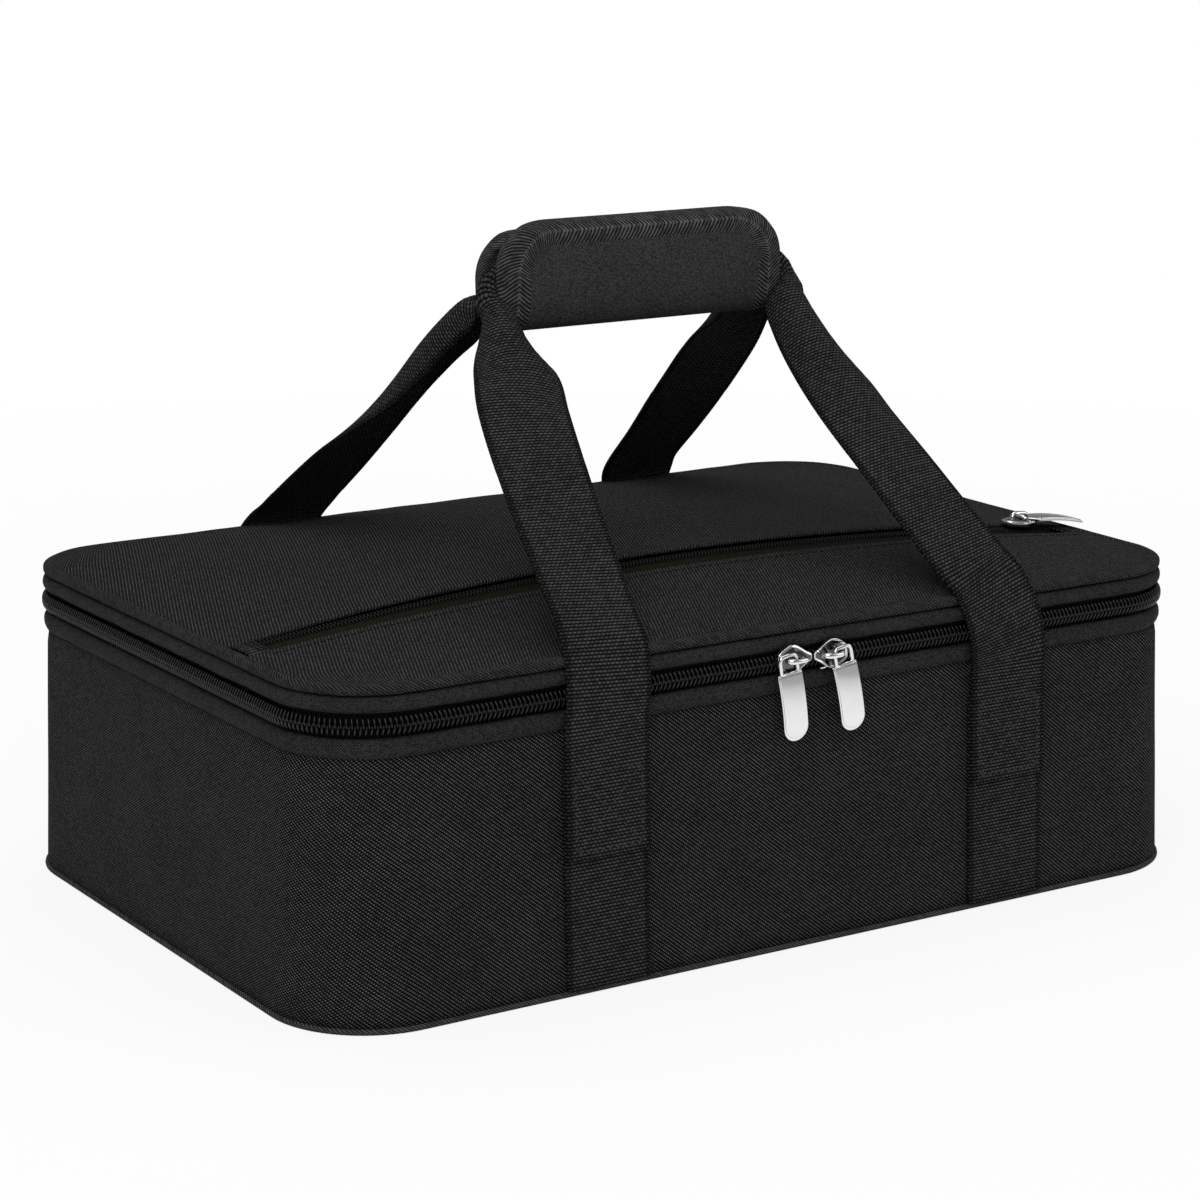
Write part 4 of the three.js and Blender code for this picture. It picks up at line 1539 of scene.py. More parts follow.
@dataclass(frozen=True)
class Rise:
    """How one leg of a handle rises from the lid's edge to the grip.

    Distances inwards, the start's too, and the bend's place along and up are in millimetres, curl and
    twist in radians.
    """

    start: float
    inward: tuple[float, ...]
    curl: tuple[float, ...]
    twist: tuple[float, ...]
    bend: Pair


FRONT_LEGS = (
    Rise(
        1.9,
        (2.8, 5.1, 7.7, 11.1, 15.5, 21.8, 24.9, 28.5),
        (0.0, 0.0, 0.0, 0.05, 0.25, 0.72, 1.8, 3.1),
        (-0.06, 0.0, 0.07, 0.13, 0.15, 0.17, 0.09, -0.03),
        (-67.5, 251.8),
    ),
    Rise(
        7.0,
        (11.5, 16.4, 20.5, 23.6, 24.6, 25.4, 25.9, 25.7),
        (0.01, 0.08, 0.2, 0.5, 0.87, 1.48, 2.0, 2.43),
        (-0.04, -0.01, 0.01, 0.0, -0.04, 0.02, 0.04, 0.0),
        (-72.0, 249.0),
    ),
)
REAR_LEGS = (
    Rise(
        8.1,
        (11.5, 14.8, 17.5, 19.3, 19.8, 20.2, 22.6, 27.5),
        (0.0, 0.11, 0.29, 0.67, 1.19, 1.68, 2.1, 2.5),
        (0.02, 0.06, 0.15, 0.31, 0.41, 0.38, 0.25, 0.08),
        (-64.5, 250.0),
    ),
    Rise(
        -1.9,
        (1.9, 3.5, 6.1, 9.6, 14.3, 20.7, 26.8, 32.9),
        (0.0, 0.0, 0.01, 0.08, 0.27, 0.6, 1.3, 2.15),
        (0.02, 0.06, 0.11, 0.11, 0.09, 0.01, -0.01, 0.0),
        (-72.0, 249.0),
    ),
)


@dataclass
class Strap:
    """One webbing handle: two sewn ends, two legs and the folded run inside the grip."""

    side: int
    case: Case
    shift: float
    legs: tuple[Rise, Rise]
    lean_bottom: float
    half_spacing: float = 98.0 * MM
    width: float = 38.0 * MM
    thickness: float = 1.8 * MM
    layer: float = 3.3 * MM
    sewn_bottom: float = 55.0 * MM
    sewn_middle: float = 73.0 * MM
    sewn_top: float = 92.0 * MM
    over_rim: float = 108.0 * MM
    over_zip: float = 122.0 * MM
    fold_share: float = 0.02
    fold_out: float = 2.2 * MM
    blend_bottom: float = 89.0 * MM
    blend_top: float = 97.0 * MM
    grip_z: float = 259.0 * MM
    grip_y: float = -9.0 * MM
    bundle_y: float = 3.2 * MM
    lean_y: float = 2.1 * MM
    bend_out: float = 4.0 * MM
    bend_curl: Pair = (2.9, 0.3)
    held_curl: Pair = (3.05, 1.0)
    held_room: float = 1.0 * MM
    pressed: Pair = (1.54, 0.157)
    shares: tuple[float, ...] = (0.1, 0.24, 0.38, 0.52, 0.64, 0.75, 0.84, 0.92)
    held: tuple[Pair, ...] = ((4.0, 3.5), (14.5, 6.0), (39.5, 9.0))
    rows: int = 240
    columns: int = 14

    def wall_y(self, height: float, layer: float) -> float:
        """Middle of a webbing layer on the front or rear wall."""
        wall = self.case.outline.half_depth + self.case.wall_offset(min(height, self.sewn_top))
        return self.side * (wall + layer)

    def leg(self, rise: Rise) -> list[tuple[Vector, Vector, Vector]]:
        """A leg from its sewn end into the grip, on the left.

        Args:
            rise: how the leg rises.

        Returns:
            Points of the middle line, the way across, and the curl with how flat the curled strap is pressed.
        """
        x = -self.half_spacing
        grip = self.grip_y + self.side * self.bundle_y
        wall = self.wall_y(self.sewn_top, self.layer)
        foot = Vector((x, wall, self.lean_bottom))
        lean = Vector((0, self.grip_y + self.side * self.lean_y - wall, self.grip_z - self.lean_bottom))
        outward = RIGHT.cross(lean.normalized()) * -self.side
        flat = Vector((0, 0, 0))
        knots = []
        for height in (self.sewn_bottom, self.sewn_middle, self.sewn_top, self.over_rim):
            knots.append((Vector((x, self.wall_y(height, self.layer), height)), RIGHT, flat))
        start = RIGHT * rise.start * MM
        knots.append((Vector((x, wall, self.over_zip)) + start * 0.4, RIGHT, flat))
        fold_in = Vector((0, self.side * self.fold_out, 0))
        knots.append((foot + lean * self.fold_share + start - fold_in, RIGHT, flat))
        for share, inward, curl, twist in zip(self.shares, rise.inward, rise.curl, rise.twist):
            across = RIGHT * math.cos(twist) + outward * math.sin(twist)
            knots.append((foot + lean * share + RIGHT * inward * MM, across, Vector((curl, 0, 0))))
        along, height = rise.bend
        turn = Vector((along * MM, grip + self.side * self.bend_out, height * MM))
        knots.append((turn, Vector((0.7, 0, -0.7)), Vector((*self.bend_curl, 0))))
        for further, higher in self.held:
            z = min((height + higher) * MM, self.grip_z - self.held_room)
            knots.append((Vector(((along + further) * MM, grip, z)), -UP, Vector((*self.held_curl, 0))))
        return knots

    def build(self, name: str) -> None:
        """Builds the handle's webbing as one piece.

        Args:
            name: front or rear.
        """
        left, right = (self.leg(rise) for rise in self.legs)
        mirror = Matrix.Diagonal((-1, 1, 1))
        knots = [*left, *[(mirror @ at, mirror @ across, curl) for at, across, curl in reversed(right)]]
        shift = Vector((self.shift, 0, 0))
        middles = [at + shift for at, _, _ in knots]
        ways = [across for _, across, _ in knots]
        curls = [curl for _, _, curl in knots]
        shares = even_shares(middles, self.rows)
        line = [along_curve(middles, share) for share in shares]
        stations = []
        for index, share in enumerate(shares):
            before, after = line[max(index - 1, 0)], line[min(index + 1, self.rows)]
            along = (after - before).normalized()
            across = along_curve(ways, share)
            across = (across - along * across.dot(along)).normalized()
            out = across.cross(along) * -self.side
            stations.append((line[index], across, out, along_curve(curls, share)))

        def place(across: float, rise: float, share: float) -> Vector:
            """A point of the strap."""
            return self.point(stations[round(share * self.rows)], across, rise)

        strap = self.webbing(f"{name}_handle_strap", self.rows, place, (0.0, span(line)))
        y = self.wall_y(self.sewn_top, self.layer)
        ends = ((self.shift, y, self.blend_bottom), (self.shift, y, self.blend_top))
        nodes = [f"{name}_handle_webbing", f"{name}_left_strap_end", f"{name}_right_strap_end"]
        bend(strap, "webbing", ("carrier_body", f"{name}_handle"), ends, *nodes)

    def webbing(
        self, name: str, rows: int, place: Callable[[float, float, float], Vector], ends: Pair
    ) -> Piece:
        """A length of webbing.

        Args:
            name: the piece's name.
            rows: faces along it.
            place: gives a point for the distance across, the rise and the share along.
            ends: distance along the cloth at both ends.

        Returns:
            The webbing.
        """
        section = self.section()

        def corner(u: float) -> Pair:
            """Point of the section at a share round it."""
            return section[round(u * len(section)) % len(section)]

        bm = drape(
            len(section), rows, lambda u, v: place(*corner(u), v), lambda u, v: (corner(u)[0], lerp(*ends, v))
        )
        return piece_of(name, close_up(bm), WEBBING)

    def section(self) -> list[Pair]:
        """Flat section with soft edges.

        Returns:
            Pairs of distance across and rise.
        """
        half, rise = self.width / 2, self.thickness / 2
        flat = half - rise
        top = [(lerp(-flat, flat, step / self.columns), rise) for step in range(self.columns + 1)]
        turns = (QUARTER / 2, 0.0, -QUARTER / 2)
        edge = [(flat + rise * math.cos(angle), rise * math.sin(angle)) for angle in turns]
        return [*top, *edge, *[(-across, -up) for across, up in [*top, *edge]]]

    def point(self, station: tuple[Vector, Vector, Vector, Vector], across: float, rise: float) -> Vector:
        """A point of the strap, whose two edges roll in behind its middle.

        Args:
            station: middle, way across, way out, and the curl with how flat it is pressed.
            across: distance from the middle line.
            rise: distance from the strap's middle layer.

        Returns:
            The point.
        """
        middle, way, out, (curl, pressed, _) = station
        if curl < 0.02:
            return middle + way * across + out * rise
        radius = self.width / 2 / curl
        wide, deep = (radius * lerp(1.0, squeeze, clamp(pressed)) for squeeze in self.pressed)
        turn = across / radius
        normal = way * math.sin(turn) / wide + out * math.cos(turn) / deep
        rolled = middle + way * wide * math.sin(turn) - out * deep * (1 - math.cos(turn))
        return rolled + normal.normalized() * rise


@dataclass
class Handles:
    """Both handles, the webbing sewn to the walls under them and its stitching."""

    case: Case
    shift: float = 7.5 * MM
    front_fold: float = 134.0 * MM
    rear_fold: float = 132.3 * MM
    anchor_layer: float = 1.2 * MM
    anchor_bottom: float = 3.1 * MM
    anchor_rows: int = 24
    stitch_inset: float = 4.0 * MM
    stitch_gap: float = 3.0 * MM

    def build(self) -> None:
        """Builds all its pieces."""
        sides = (("front", -1, FRONT_LEGS, self.front_fold), ("rear", 1, REAR_LEGS, self.rear_fold))
        for name, side, legs, fold in sides:
            strap = Strap(side, self.case, self.shift, legs, fold)
            strap.build(name)
            for hand, leg in (("left", -1), ("right", 1)):
                middle = self.shift + leg * strap.half_spacing
                self.anchor(f"{name}_{hand}_anchor", strap, middle)
                self.box_stitch(f"{name}_{hand}_box_stitch", strap, middle)

    def anchor(self, node: str, strap: Strap, middle: float) -> None:
        """Webbing sewn flat on the wall below a handle's end.

        Args:
            node: the CAD node that it stands for.
            strap: the handle.
            middle: place of the webbing's middle along the length.
        """
        ends = (self.anchor_bottom, strap.sewn_top)

        def place(across: float, rise: float, share: float) -> Vector:
            """A point of the webbing."""
            height = lerp(*ends, share)
            y = strap.wall_y(height, self.anchor_layer) + strap.side * rise
            return Vector((middle + across, y, height))

        webbing = strap.webbing(f"{node}_webbing", self.anchor_rows, place, ends)
        fasten(webbing, "webbing", "carrier_body", node)

    def box_stitch(self, name: str, strap: Strap, middle: float) -> None:
        """A sewn box with a cross in it, on a handle's end.

        Args:
            name: the piece's name.
            strap: the handle.
            middle: place of the box's middle along the length.
        """
        half = strap.width / 2 - self.stitch_inset
        low, high = strap.sewn_bottom + self.stitch_gap, strap.sewn_top - self.stitch_gap

        def on_cloth(x: float, z: float) -> Vector:
            """A point on the handle's end."""
            y = strap.wall_y(z, strap.layer) + strap.side * (strap.thickness / 2 + 0.05 * MM)
            return Vector((middle + x, y, z))

        corners = [on_cloth(-half, low), on_cloth(half, low), on_cloth(half, high), on_cloth(-half, high)]
        lines = [*pairwise([*corners, corners[0]]), (corners[0], corners[2]), (corners[1], corners[3])]
        stitches = Stitching(dash=2.4 * MM, pitch=3.4 * MM, width=0.85 * MM, thread=GREY_THREAD)
        out = Vector((0, strap.side, 0))
        places = [place for line in lines for place in stitches.run(line, out)]
        fasten(stitches.piece(name, places), "webbing", "carrier_body")


@dataclass
class Grip:
    """Padded wrap round both handles: a pad folded at the bottom, its binding and closure tapes.

    Both faces are drawn from the end, as millimetres away from the middle and up, from the top to the fold.
    """

    shift: float = 7.5 * MM
    middle_y: float = -9.0 * MM
    middle_z: float = 259.0 * MM
    half_length: float = 69.0 * MM
    corner: float = 25.0 * MM
    rim_fullness: float = 0.72
    rim_softness: float = 14.0 * MM
    top_fullness: float = 6.0 * MM
    binding_width: float = 12.5 * MM
    binding_turn: float = 8.0 * MM
    binding_edge: float = 4.0 * MM
    binding_gap: float = 0.6 * MM
    binding_columns: int = 300
    binding_rows: int = 20
    turned_rows: int = 6
    back_share: float = 0.83
    tape_inset: float = 16.0 * MM
    tape_drop: float = 2.0 * MM
    tape_rounding: float = 0.7 * MM
    proud: float = 0.9 * MM
    fold_start: float = -7.5 * MM
    fold_end: float = -10.5 * MM
    steps: int = 96
    outer_half: tuple[Pair, ...] = (
        (4.4, 22.3), (7.6, 21.2), (10.4, 17.5), (12.2, 11.5), (13.0, 3.0), (12.9, -6.0),
        (12.0, -13.0), (9.4, -18.6), (5.2, -21.7), (0.0, -22.5),
    )
    inner_half: tuple[Pair, ...] = (
        (2.7, 22.0), (2.7, 18.0), (3.0, 14.5), (5.3, 11.0), (5.6, 0.0), (5.5, -9.0),
        (5.0, -13.0), (3.8, -15.8), (2.0, -17.2), (0.0, -17.6),
    )

    def __post_init__(self) -> None:
        """Works out both faces of the wrap as curves from the flap's top to the back's top."""
        self.outer = self.contour(self.outer_half)
        self.inner = self.contour(self.inner_half)
        self.flat = Outline(self.half_length, span(self.outer) / 2, self.corner)

    def contour(self, half: Sequence[Pair]) -> list[Vector]:
        """One face seen from the end, front to back.

        Args:
            half: its front half, from the top to the fold.

        Returns:
            Points in equal steps.
        """
        front = [Vector((0, -away * MM, rise * MM)) for away, rise in half]
        points = list(front)
        for at in reversed(front[:-1]):
            share = self.back_share if at.z > 0 else 1
            points.append(Vector((0, -at.y, at.z * share)))
        return [along_curve(points, share) for share in even_shares(points, self.steps)]

    def on_wrap(self, x: float, s: float, depth: float) -> Vector:
        """A point of the wrap.

        Args:
            x: distance from the middle along the grip.
            s: distance from the fold round the outside, negative on the flap.
            depth: nought on the outer face and one on the inner face.

        Returns:
            The point.
        """
        reach = self.flat.half_depth
        share = clamp((s + reach) / (2 * reach)) * self.steps
        index = min(int(share), self.steps - 1)
        outer = self.outer[index].lerp(self.outer[index + 1], share - index)
        inner = self.inner[index].lerp(self.inner[index + 1], share - index)
        from_rim = min(self.half_length - abs(x), reach - abs(s) + self.top_fullness)
        skin = inner.lerp(outer, lerp(self.rim_fullness, 1.0, smooth(from_rim / self.rim_softness)))
        at = skin.lerp(inner, depth)
        return Vector((self.shift + x, self.middle_y + at.y, self.middle_z + at.z))

    def build(self) -> None:
        """Builds all its pieces."""
        self.pad()
        self.binding()
        self.closures()

    def hang(self, piece: Piece, slot: str, *nodes: str) -> None:
        """Hands a piece to bend, with the ends of the fold between the back of the grip and its flap.

        Args:
            piece: the piece.
            slot: its material slot, passed on to bend, which doesn't use it.
            nodes: the CAD nodes that it stands for.
        """
        height = self.middle_z + self.outer_half[-1][1] * MM
        ends = ((self.shift, self.fold_start, height), (self.shift, self.fold_end, height))
        bend(piece, slot, ("rear_handle", "grip_flap"), ends, *nodes)

    def pad(self) -> None:
        """The padded wrap as one closed body."""
        reach = self.flat.half_depth
        flat = spread(-self.half_length, self.half_length, -reach, reach)

        def face(depth: float) -> Mesh:
            """The outer or the inner face."""
            return drape(70, 72, lambda u, v: self.on_wrap(*self.flat.inside(*flat(u, v), 0.0), depth), flat)

        bm, inside = face(0.0), face(1.0)
        bmesh.ops.reverse_faces(inside, faces=inside.faces)
        absorb(bm, inside)
        bmesh.ops.bridge_loops(bm, edges=[edge for edge in bm.edges if edge.is_boundary])
        bmesh.ops.recalc_face_normals(bm, faces=bm.faces)
        pad = piece_of("grip_wrap", bm, GRIP_CLOTH)
        self.hang(pad, "grip_cloth", "grip_back_pad", "grip_back_fold", "grip_flap_pad", "grip_flap_fold")

    def across_binding(self, row: float) -> tuple[float, float]:
        """Where a row of the binding lies.

        Args:
            row: the row, counted from the outer face to the inner face.

        Returns:
            The inset from the wrap's edge, and the share of the way round that edge.
        """
        face_rows = (self.binding_rows - self.turned_rows) / 2
        if row <= face_rows:
            return lerp(self.binding_width, self.binding_gap, row / face_rows), 0.0
        past = row - self.binding_rows + face_rows
        if past >= 0:
            return lerp(self.binding_gap, self.binding_turn, past / face_rows), 1.0
        share = (row - face_rows) / self.turned_rows
        return self.binding_gap * (1 - math.cos(math.pi * (share - 0.5))), share

    def binding(self) -> None:
        """Herringbone tape folded over the wrap's edge all round."""
        rows = self.binding_rows
        cloth_width = self.binding_width + self.binding_turn + self.binding_edge

        def place(u: float, v: float) -> Vector:
            """A point of the tape, which stands proud of the wrap except at its own edges."""
            border, out = self.flat.station(u * self.flat.length)
            inset, turn = self.across_binding(v * rows)
            spot, inward = border - out * inset, border - out * (inset + 0.4 * MM)
            at = self.on_wrap(spot.x, spot.y, turn)
            thick = self.on_wrap(spot.x, spot.y, 0.0) - self.on_wrap(spot.x, spot.y, 1.0)
            edge = at - self.on_wrap(inward.x, inward.y, turn)
            angle = math.pi * turn
            lift = thick.normalized() * math.cos(angle) + edge.normalized() * math.sin(angle)
            lip = smooth(v * rows / 1.5) * smooth((1 - v) * rows / 1.5)
            return at + lift * self.proud * lip

        bm = drape(self.binding_columns, rows, place, lambda u, v: (v * cloth_width, u * self.flat.length))
        bmesh.ops.remove_doubles(bm, verts=bm.verts, dist=0.01 * MM)
        bmesh.ops.recalc_face_normals(bm, faces=bm.faces)
        tape = piece_of("grip_wrap_binding", bm, HERRINGBONE)
        self.hang(tape, "binding", "grip_back_binding", "grip_flap_binding")

    def closures(self) -> None:
        """Hook tape on the flap and loop tape on the back, inside the top edges."""
        top = self.outer_half[0][1] * MM
        for node, body, finish, share in (
            ("grip_hook_tape", "grip_flap", HOOKS, 1.0),
            ("grip_loop_tape", "rear_handle", LOOPS, self.back_share),
        ):
            low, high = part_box(node)
            low.x, high.x = low.x + self.tape_inset, high.x - self.tape_inset
            high.z = self.middle_z + top * share - self.tape_drop
            strip = piece_of(f"{node}_strip", block(low, high, self.tape_rounding), finish)
            fasten(strip, "closure", body, node)


# Chrome


class Zip(Enum):
    """The three sliders: name, direction of the nose, and lean of the pull in degrees."""

    LEFT = ("left", 1, 8.0)
    RIGHT = ("right", -1, 11.0)
    POCKET = ("pocket", 1, 0.0)


@dataclass
class Sliders:
    """Plated sliders and their pulls, drawn with X along the chain, Y across it and Z away from it."""

    lid: Lid
    half_depth: float
    length: float = 16.5 * MM
    height: float = 12.2 * MM
    nose: float = 2.4 * MM
    tail: float = 4.4 * MM
    widest_share: float = 0.42
    plate: float = 2.4 * MM
    chamfer: float = 0.5 * MM
    chamfer_width: float = 0.9 * MM
    ridge: float = 0.7 * MM
    stand: float = 2.3 * MM
    bridge_span: float = 9.0 * MM
    bridge_width: float = 2.2 * MM
    bridge_bar: float = 1.3 * MM
    bridge_half_bar: float = 0.9 * MM
    bridge_power: float = 0.55
    room: float = 2.4 * MM
    lip_y: float = -5.7 * MM
    lip_z: float = -0.05 * MM
    lip_size: tuple[float, float, float] = (8.2 * MM, 0.7 * MM, 1.1 * MM)
    hook_rise: float = 0.45 * MM
    pull_width: float = 11.6 * MM
    pull_length: float = 33.0 * MM
    pull_neck: float = 4.6 * MM
    pull_plate: float = 1.5 * MM
    back_plate: float = 0.95 * MM
    front_plate: float = 0.8 * MM
    bow: float = 1.0 * MM
    bow_cuts: int = 14
    loop_width: float = 9.6 * MM
    loop_top: float = 3.3 * MM
    loop_wire: float = 0.8 * MM
    pocket_x: float = 180.0 * MM
    pocket_y: float = -59.0 * MM
    pocket_rise: float = 0.9 * MM
    pocket_reach: float = 2.5 * MM
    pocket_drop: float = 3.0
    crease: float = 35.0

    def build(self) -> None:
        """Builds the three sliders and their pulls."""
        for which in Zip:
            name, direction, lean = which.value
            on_lid = which is Zip.POCKET
            seat, pull_place = self.pocket_places() if on_lid else self.main_places(name, direction, lean)
            bm = self.slider(direction, not on_lid)
            bmesh.ops.transform(bm, matrix=seat, verts=bm.verts)
            slider = piece_of(f"{name}_slider_body", bm, CHROME, self.crease)
            # The slider's second material is the dark copy of the plating, a painted dark reflection.
            slider.data.materials.append(SHADED_CHROME.material())
            fasten(slider, "chrome", f"{name}_zip_slider", f"{name}_slider")
            bm = self.pull()
            bmesh.ops.transform(bm, matrix=pull_place, verts=bm.verts)
            pull = piece_of(f"{name}_pull_tab", bm, CHROME, self.crease)
            fasten(pull, "chrome", f"{name}_zip_pull", f"{name}_pull")

    def main_places(self, name: str, direction: int, lean: float) -> tuple[Matrix, Matrix]:
        """Places of a slider on the front chain and of its pull.

        Args:
            name: left or right.
            direction: way of the nose along the length, 1 or -1.
            lean: the pull's lean in degrees.

        Returns:
            Both places.
        """
        low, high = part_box(f"{name}_slider")
        middle = Vector(((low.x + high.x) / 2, -self.half_depth - self.stand, (low.z + high.z) / 2))
        seat = frame_at(middle, RIGHT, Vector((0, -1, 0)))
        hook = Matrix.Translation((-direction * self.bridge_span / 2, 0, self.plate + self.hook_rise))
        return seat, seat @ hook @ Matrix.Rotation(math.radians(lean), 4, "Z")

    def pocket_places(self) -> tuple[Matrix, Matrix]:
        """Places of the pocket slider and of its pull, which lies over to the right.

        Returns:
            Both places.
        """
        x, y = self.pocket_x, self.pocket_y
        tilt = Matrix.Rotation(-math.atan(self.lid.slope(x, y)), 4, "Y")
        seat = Matrix.Translation((x, y, self.lid.surface(x, y) + self.pocket_rise)) @ tilt
        pivot = Matrix.Translation((0, 0, self.plate + self.room / 2))
        drop = Matrix.Rotation(math.radians(self.pocket_drop), 4, "Y")
        hook = Matrix.Translation((self.pocket_reach, 0, -self.pull_plate / 2))
        return seat, seat @ pivot @ drop @ hook @ Matrix.Rotation(QUARTER, 4, "Z")

    def slider(self, direction: int, lip: bool) -> Mesh:
        """A slider: leaf-shaped plate with a raised middle, a bridge, and a lip under the coil.

        Args:
            direction: way of the nose along the chain, 1 or -1.
            lip: whether it has the lip.

        Returns:
            The slider.
        """
        bm = bmesh.new()
        widest = self.height / 2
        for vert in bmesh.ops.create_circle(bm, cap_ends=True, segments=48, radius=1.0)["verts"]:
            along, across = vert.co.x, vert.co.y
            share = (along + 1) / 2
            past = share - self.widest_share
            if past < 0:
                half = lerp(self.tail, widest, smooth(share / self.widest_share))
            else:
                half = lerp(widest, self.nose, smooth(past / (1 - self.widest_share)))
            vert.co = Vector((direction * along * self.length / 2, half * bulge(across, 0.4), 0))
        raised = bmesh.ops.extrude_face_region(bm, geom=bm.faces[:])
        top = [item for item in raised["geom"] if isinstance(item, bmesh.types.BMFace)]
        bmesh.ops.translate(bm, verts=top[0].verts[:], vec=(0, 0, self.plate - self.chamfer))
        bmesh.ops.inset_region(bm, faces=top, thickness=self.chamfer_width, depth=self.chamfer)
        # The raised middle's facets take that dark copy, a painted dark reflection, while the chamfered rim
        # stays bright.
        for facet in bmesh.ops.poke(bm, faces=top, offset=self.ridge)["faces"]:
            facet.material_index = 1
        rim = [edge for edge in bm.edges if edge.calc_length() > 0 and edge.calc_face_angle(0.0) > 0.5]
        round_off(bm, rim, 0.22 * MM, 2)
        absorb(bm, self.bridge())
        if lip:
            place = Matrix.Translation((0, self.lip_y, self.lip_z)) @ Matrix.Diagonal((*self.lip_size, 1))
            cube = bmesh.ops.create_cube(bm, size=1.0, matrix=place)
            round_off(bm, edges_of(cube["verts"]), 0.2 * MM, 2)
        bmesh.ops.recalc_face_normals(bm, faces=bm.faces)
        return bm

    def bridge(self) -> Mesh:
        """The arch that holds the pull.

        Returns:
            The arch.
        """
        bm = bmesh.new()
        half = self.bridge_span / 2
        ring = bmesh.ops.create_circle(bm, cap_ends=True, segments=12, radius=1.0)["verts"]
        size = Matrix.Diagonal((self.bridge_half_bar, self.bridge_width / 2, 1, 1))
        bmesh.ops.transform(bm, matrix=Matrix.Translation((half, 0, 0)) @ size, verts=ring)
        bmesh.ops.spin(bm, geom=bm.faces[:], axis=(0, 1, 0), angle=-math.pi, steps=16)
        rise = self.room + self.bridge_bar / 2 + self.plate / 2
        for vert in bm.verts:
            around = math.atan2(vert.co.z, vert.co.x)
            away = math.hypot(vert.co.x, vert.co.z) - half
            x = bulge(math.cos(around), self.bridge_power)
            z = max(0.0, math.sin(around)) ** self.bridge_power
            push = Vector((math.cos(around), 0, math.sin(around))) * away
            vert.co = Vector((x * half, vert.co.y, self.plate / 2 + z * rise)) + push
        return close_up(bm)

    def pull(self) -> Mesh:
        """A pull with its pivot at the origin, hanging towards -Y.

        Returns:
            A wire loop and a tab of two plates.
        """
        bm = bmesh.new()
        ring = bmesh.ops.create_circle(bm, segments=12, radius=self.loop_wire)["verts"]
        half_width = self.loop_width / 2 - self.loop_wire
        top, bottom = self.loop_top - self.loop_wire, -self.pull_neck - self.loop_wire / 2
        bmesh.ops.rotate(bm, verts=ring, matrix=Matrix.Rotation(QUARTER, 3, "X"))
        bmesh.ops.translate(bm, verts=ring, vec=(half_width, 0, 0))
        geom = [*ring, *edges_of(ring)]
        bmesh.ops.spin(bm, geom=geom, axis=UP, angle=2 * math.pi, steps=40, use_merge=True)
        for vert in bm.verts:
            around = math.atan2(vert.co.y, vert.co.x)
            away = math.hypot(vert.co.x, vert.co.y) - half_width
            power = 0.5 if vert.co.y > 0 else 0.3
            x = bulge(math.cos(around), power) * half_width
            y = bulge(math.sin(around), power) * (top - bottom) / 2 + (top + bottom) / 2
            push = Vector((math.cos(around), math.sin(around), 0)) * away
            vert.co = Vector((x, y, vert.co.z + self.pull_plate / 2)) + push
        neck, half = -self.pull_neck, self.pull_width / 2
        self.add_plate(bm, half, self.pull_length, neck, 0.0, self.back_plate)
        tip = self.pull_length - 1.3 * MM
        self.add_plate(bm, half - 0.45 * MM, tip, neck - 0.35 * MM, self.front_plate, self.pull_plate)
        tab = self.pull_length - self.pull_neck
        for cut in range(1, self.bow_cuts):
            whole = [*bm.verts, *bm.edges, *bm.faces]
            across = (0, neck - tab * cut / self.bow_cuts, 0)
            bmesh.ops.bisect_plane(bm, geom=whole, plane_co=across, plane_no=(0, 1, 0), dist=0.001 * MM)
        for vert in bm.verts:
            share = clamp((neck - vert.co.y) / tab)
            vert.co.z += self.bow * 4 * share * (1 - share)
        bmesh.ops.recalc_face_normals(bm, faces=bm.faces)
        return bm

    def add_plate(self, bm: Mesh, half: float, tip: float, top: float, low: float, high: float) -> None:
        """Adds a plate with a round lower end.

        Args:
            bm: the pull.
            half: half its width.
            tip: distance of its lower end from the pivot.
            top: its upper edge.
            low: its rear face.
            high: its front face.
        """
        middle = Vector((0, (top - tip) / 2, low))
        place = Matrix.Translation(middle) @ Matrix.Diagonal((half, (top + tip) / 2, 1, 1))
        sheet = bmesh.ops.create_grid(bm, x_segments=1, y_segments=1, size=1.0, matrix=place)
        ends = [vert for vert in sheet["verts"] if vert.co.y < middle.y]
        others = [vert for vert in sheet["verts"] if vert.co.y > middle.y]
        round_end = round_off(bm, ends, half * 0.999, 12, "VERTICES")
        round_off(bm, others, 0.7 * MM, 3, "VERTICES")
        face = round_end["verts"][0].link_faces[0]
        raised = bmesh.ops.extrude_face_region(bm, geom=[face], use_keep_orig=True)
        verts = [item for item in raised["geom"] if isinstance(item, bmesh.types.BMVert)]
        bmesh.ops.translate(bm, verts=verts, vec=(0, 0, high - low))
        round_off(bm, [edge for edge in edges_of(verts) if edge.calc_face_angle(0.0) > 1.0], 0.25 * MM, 3)


# Studio


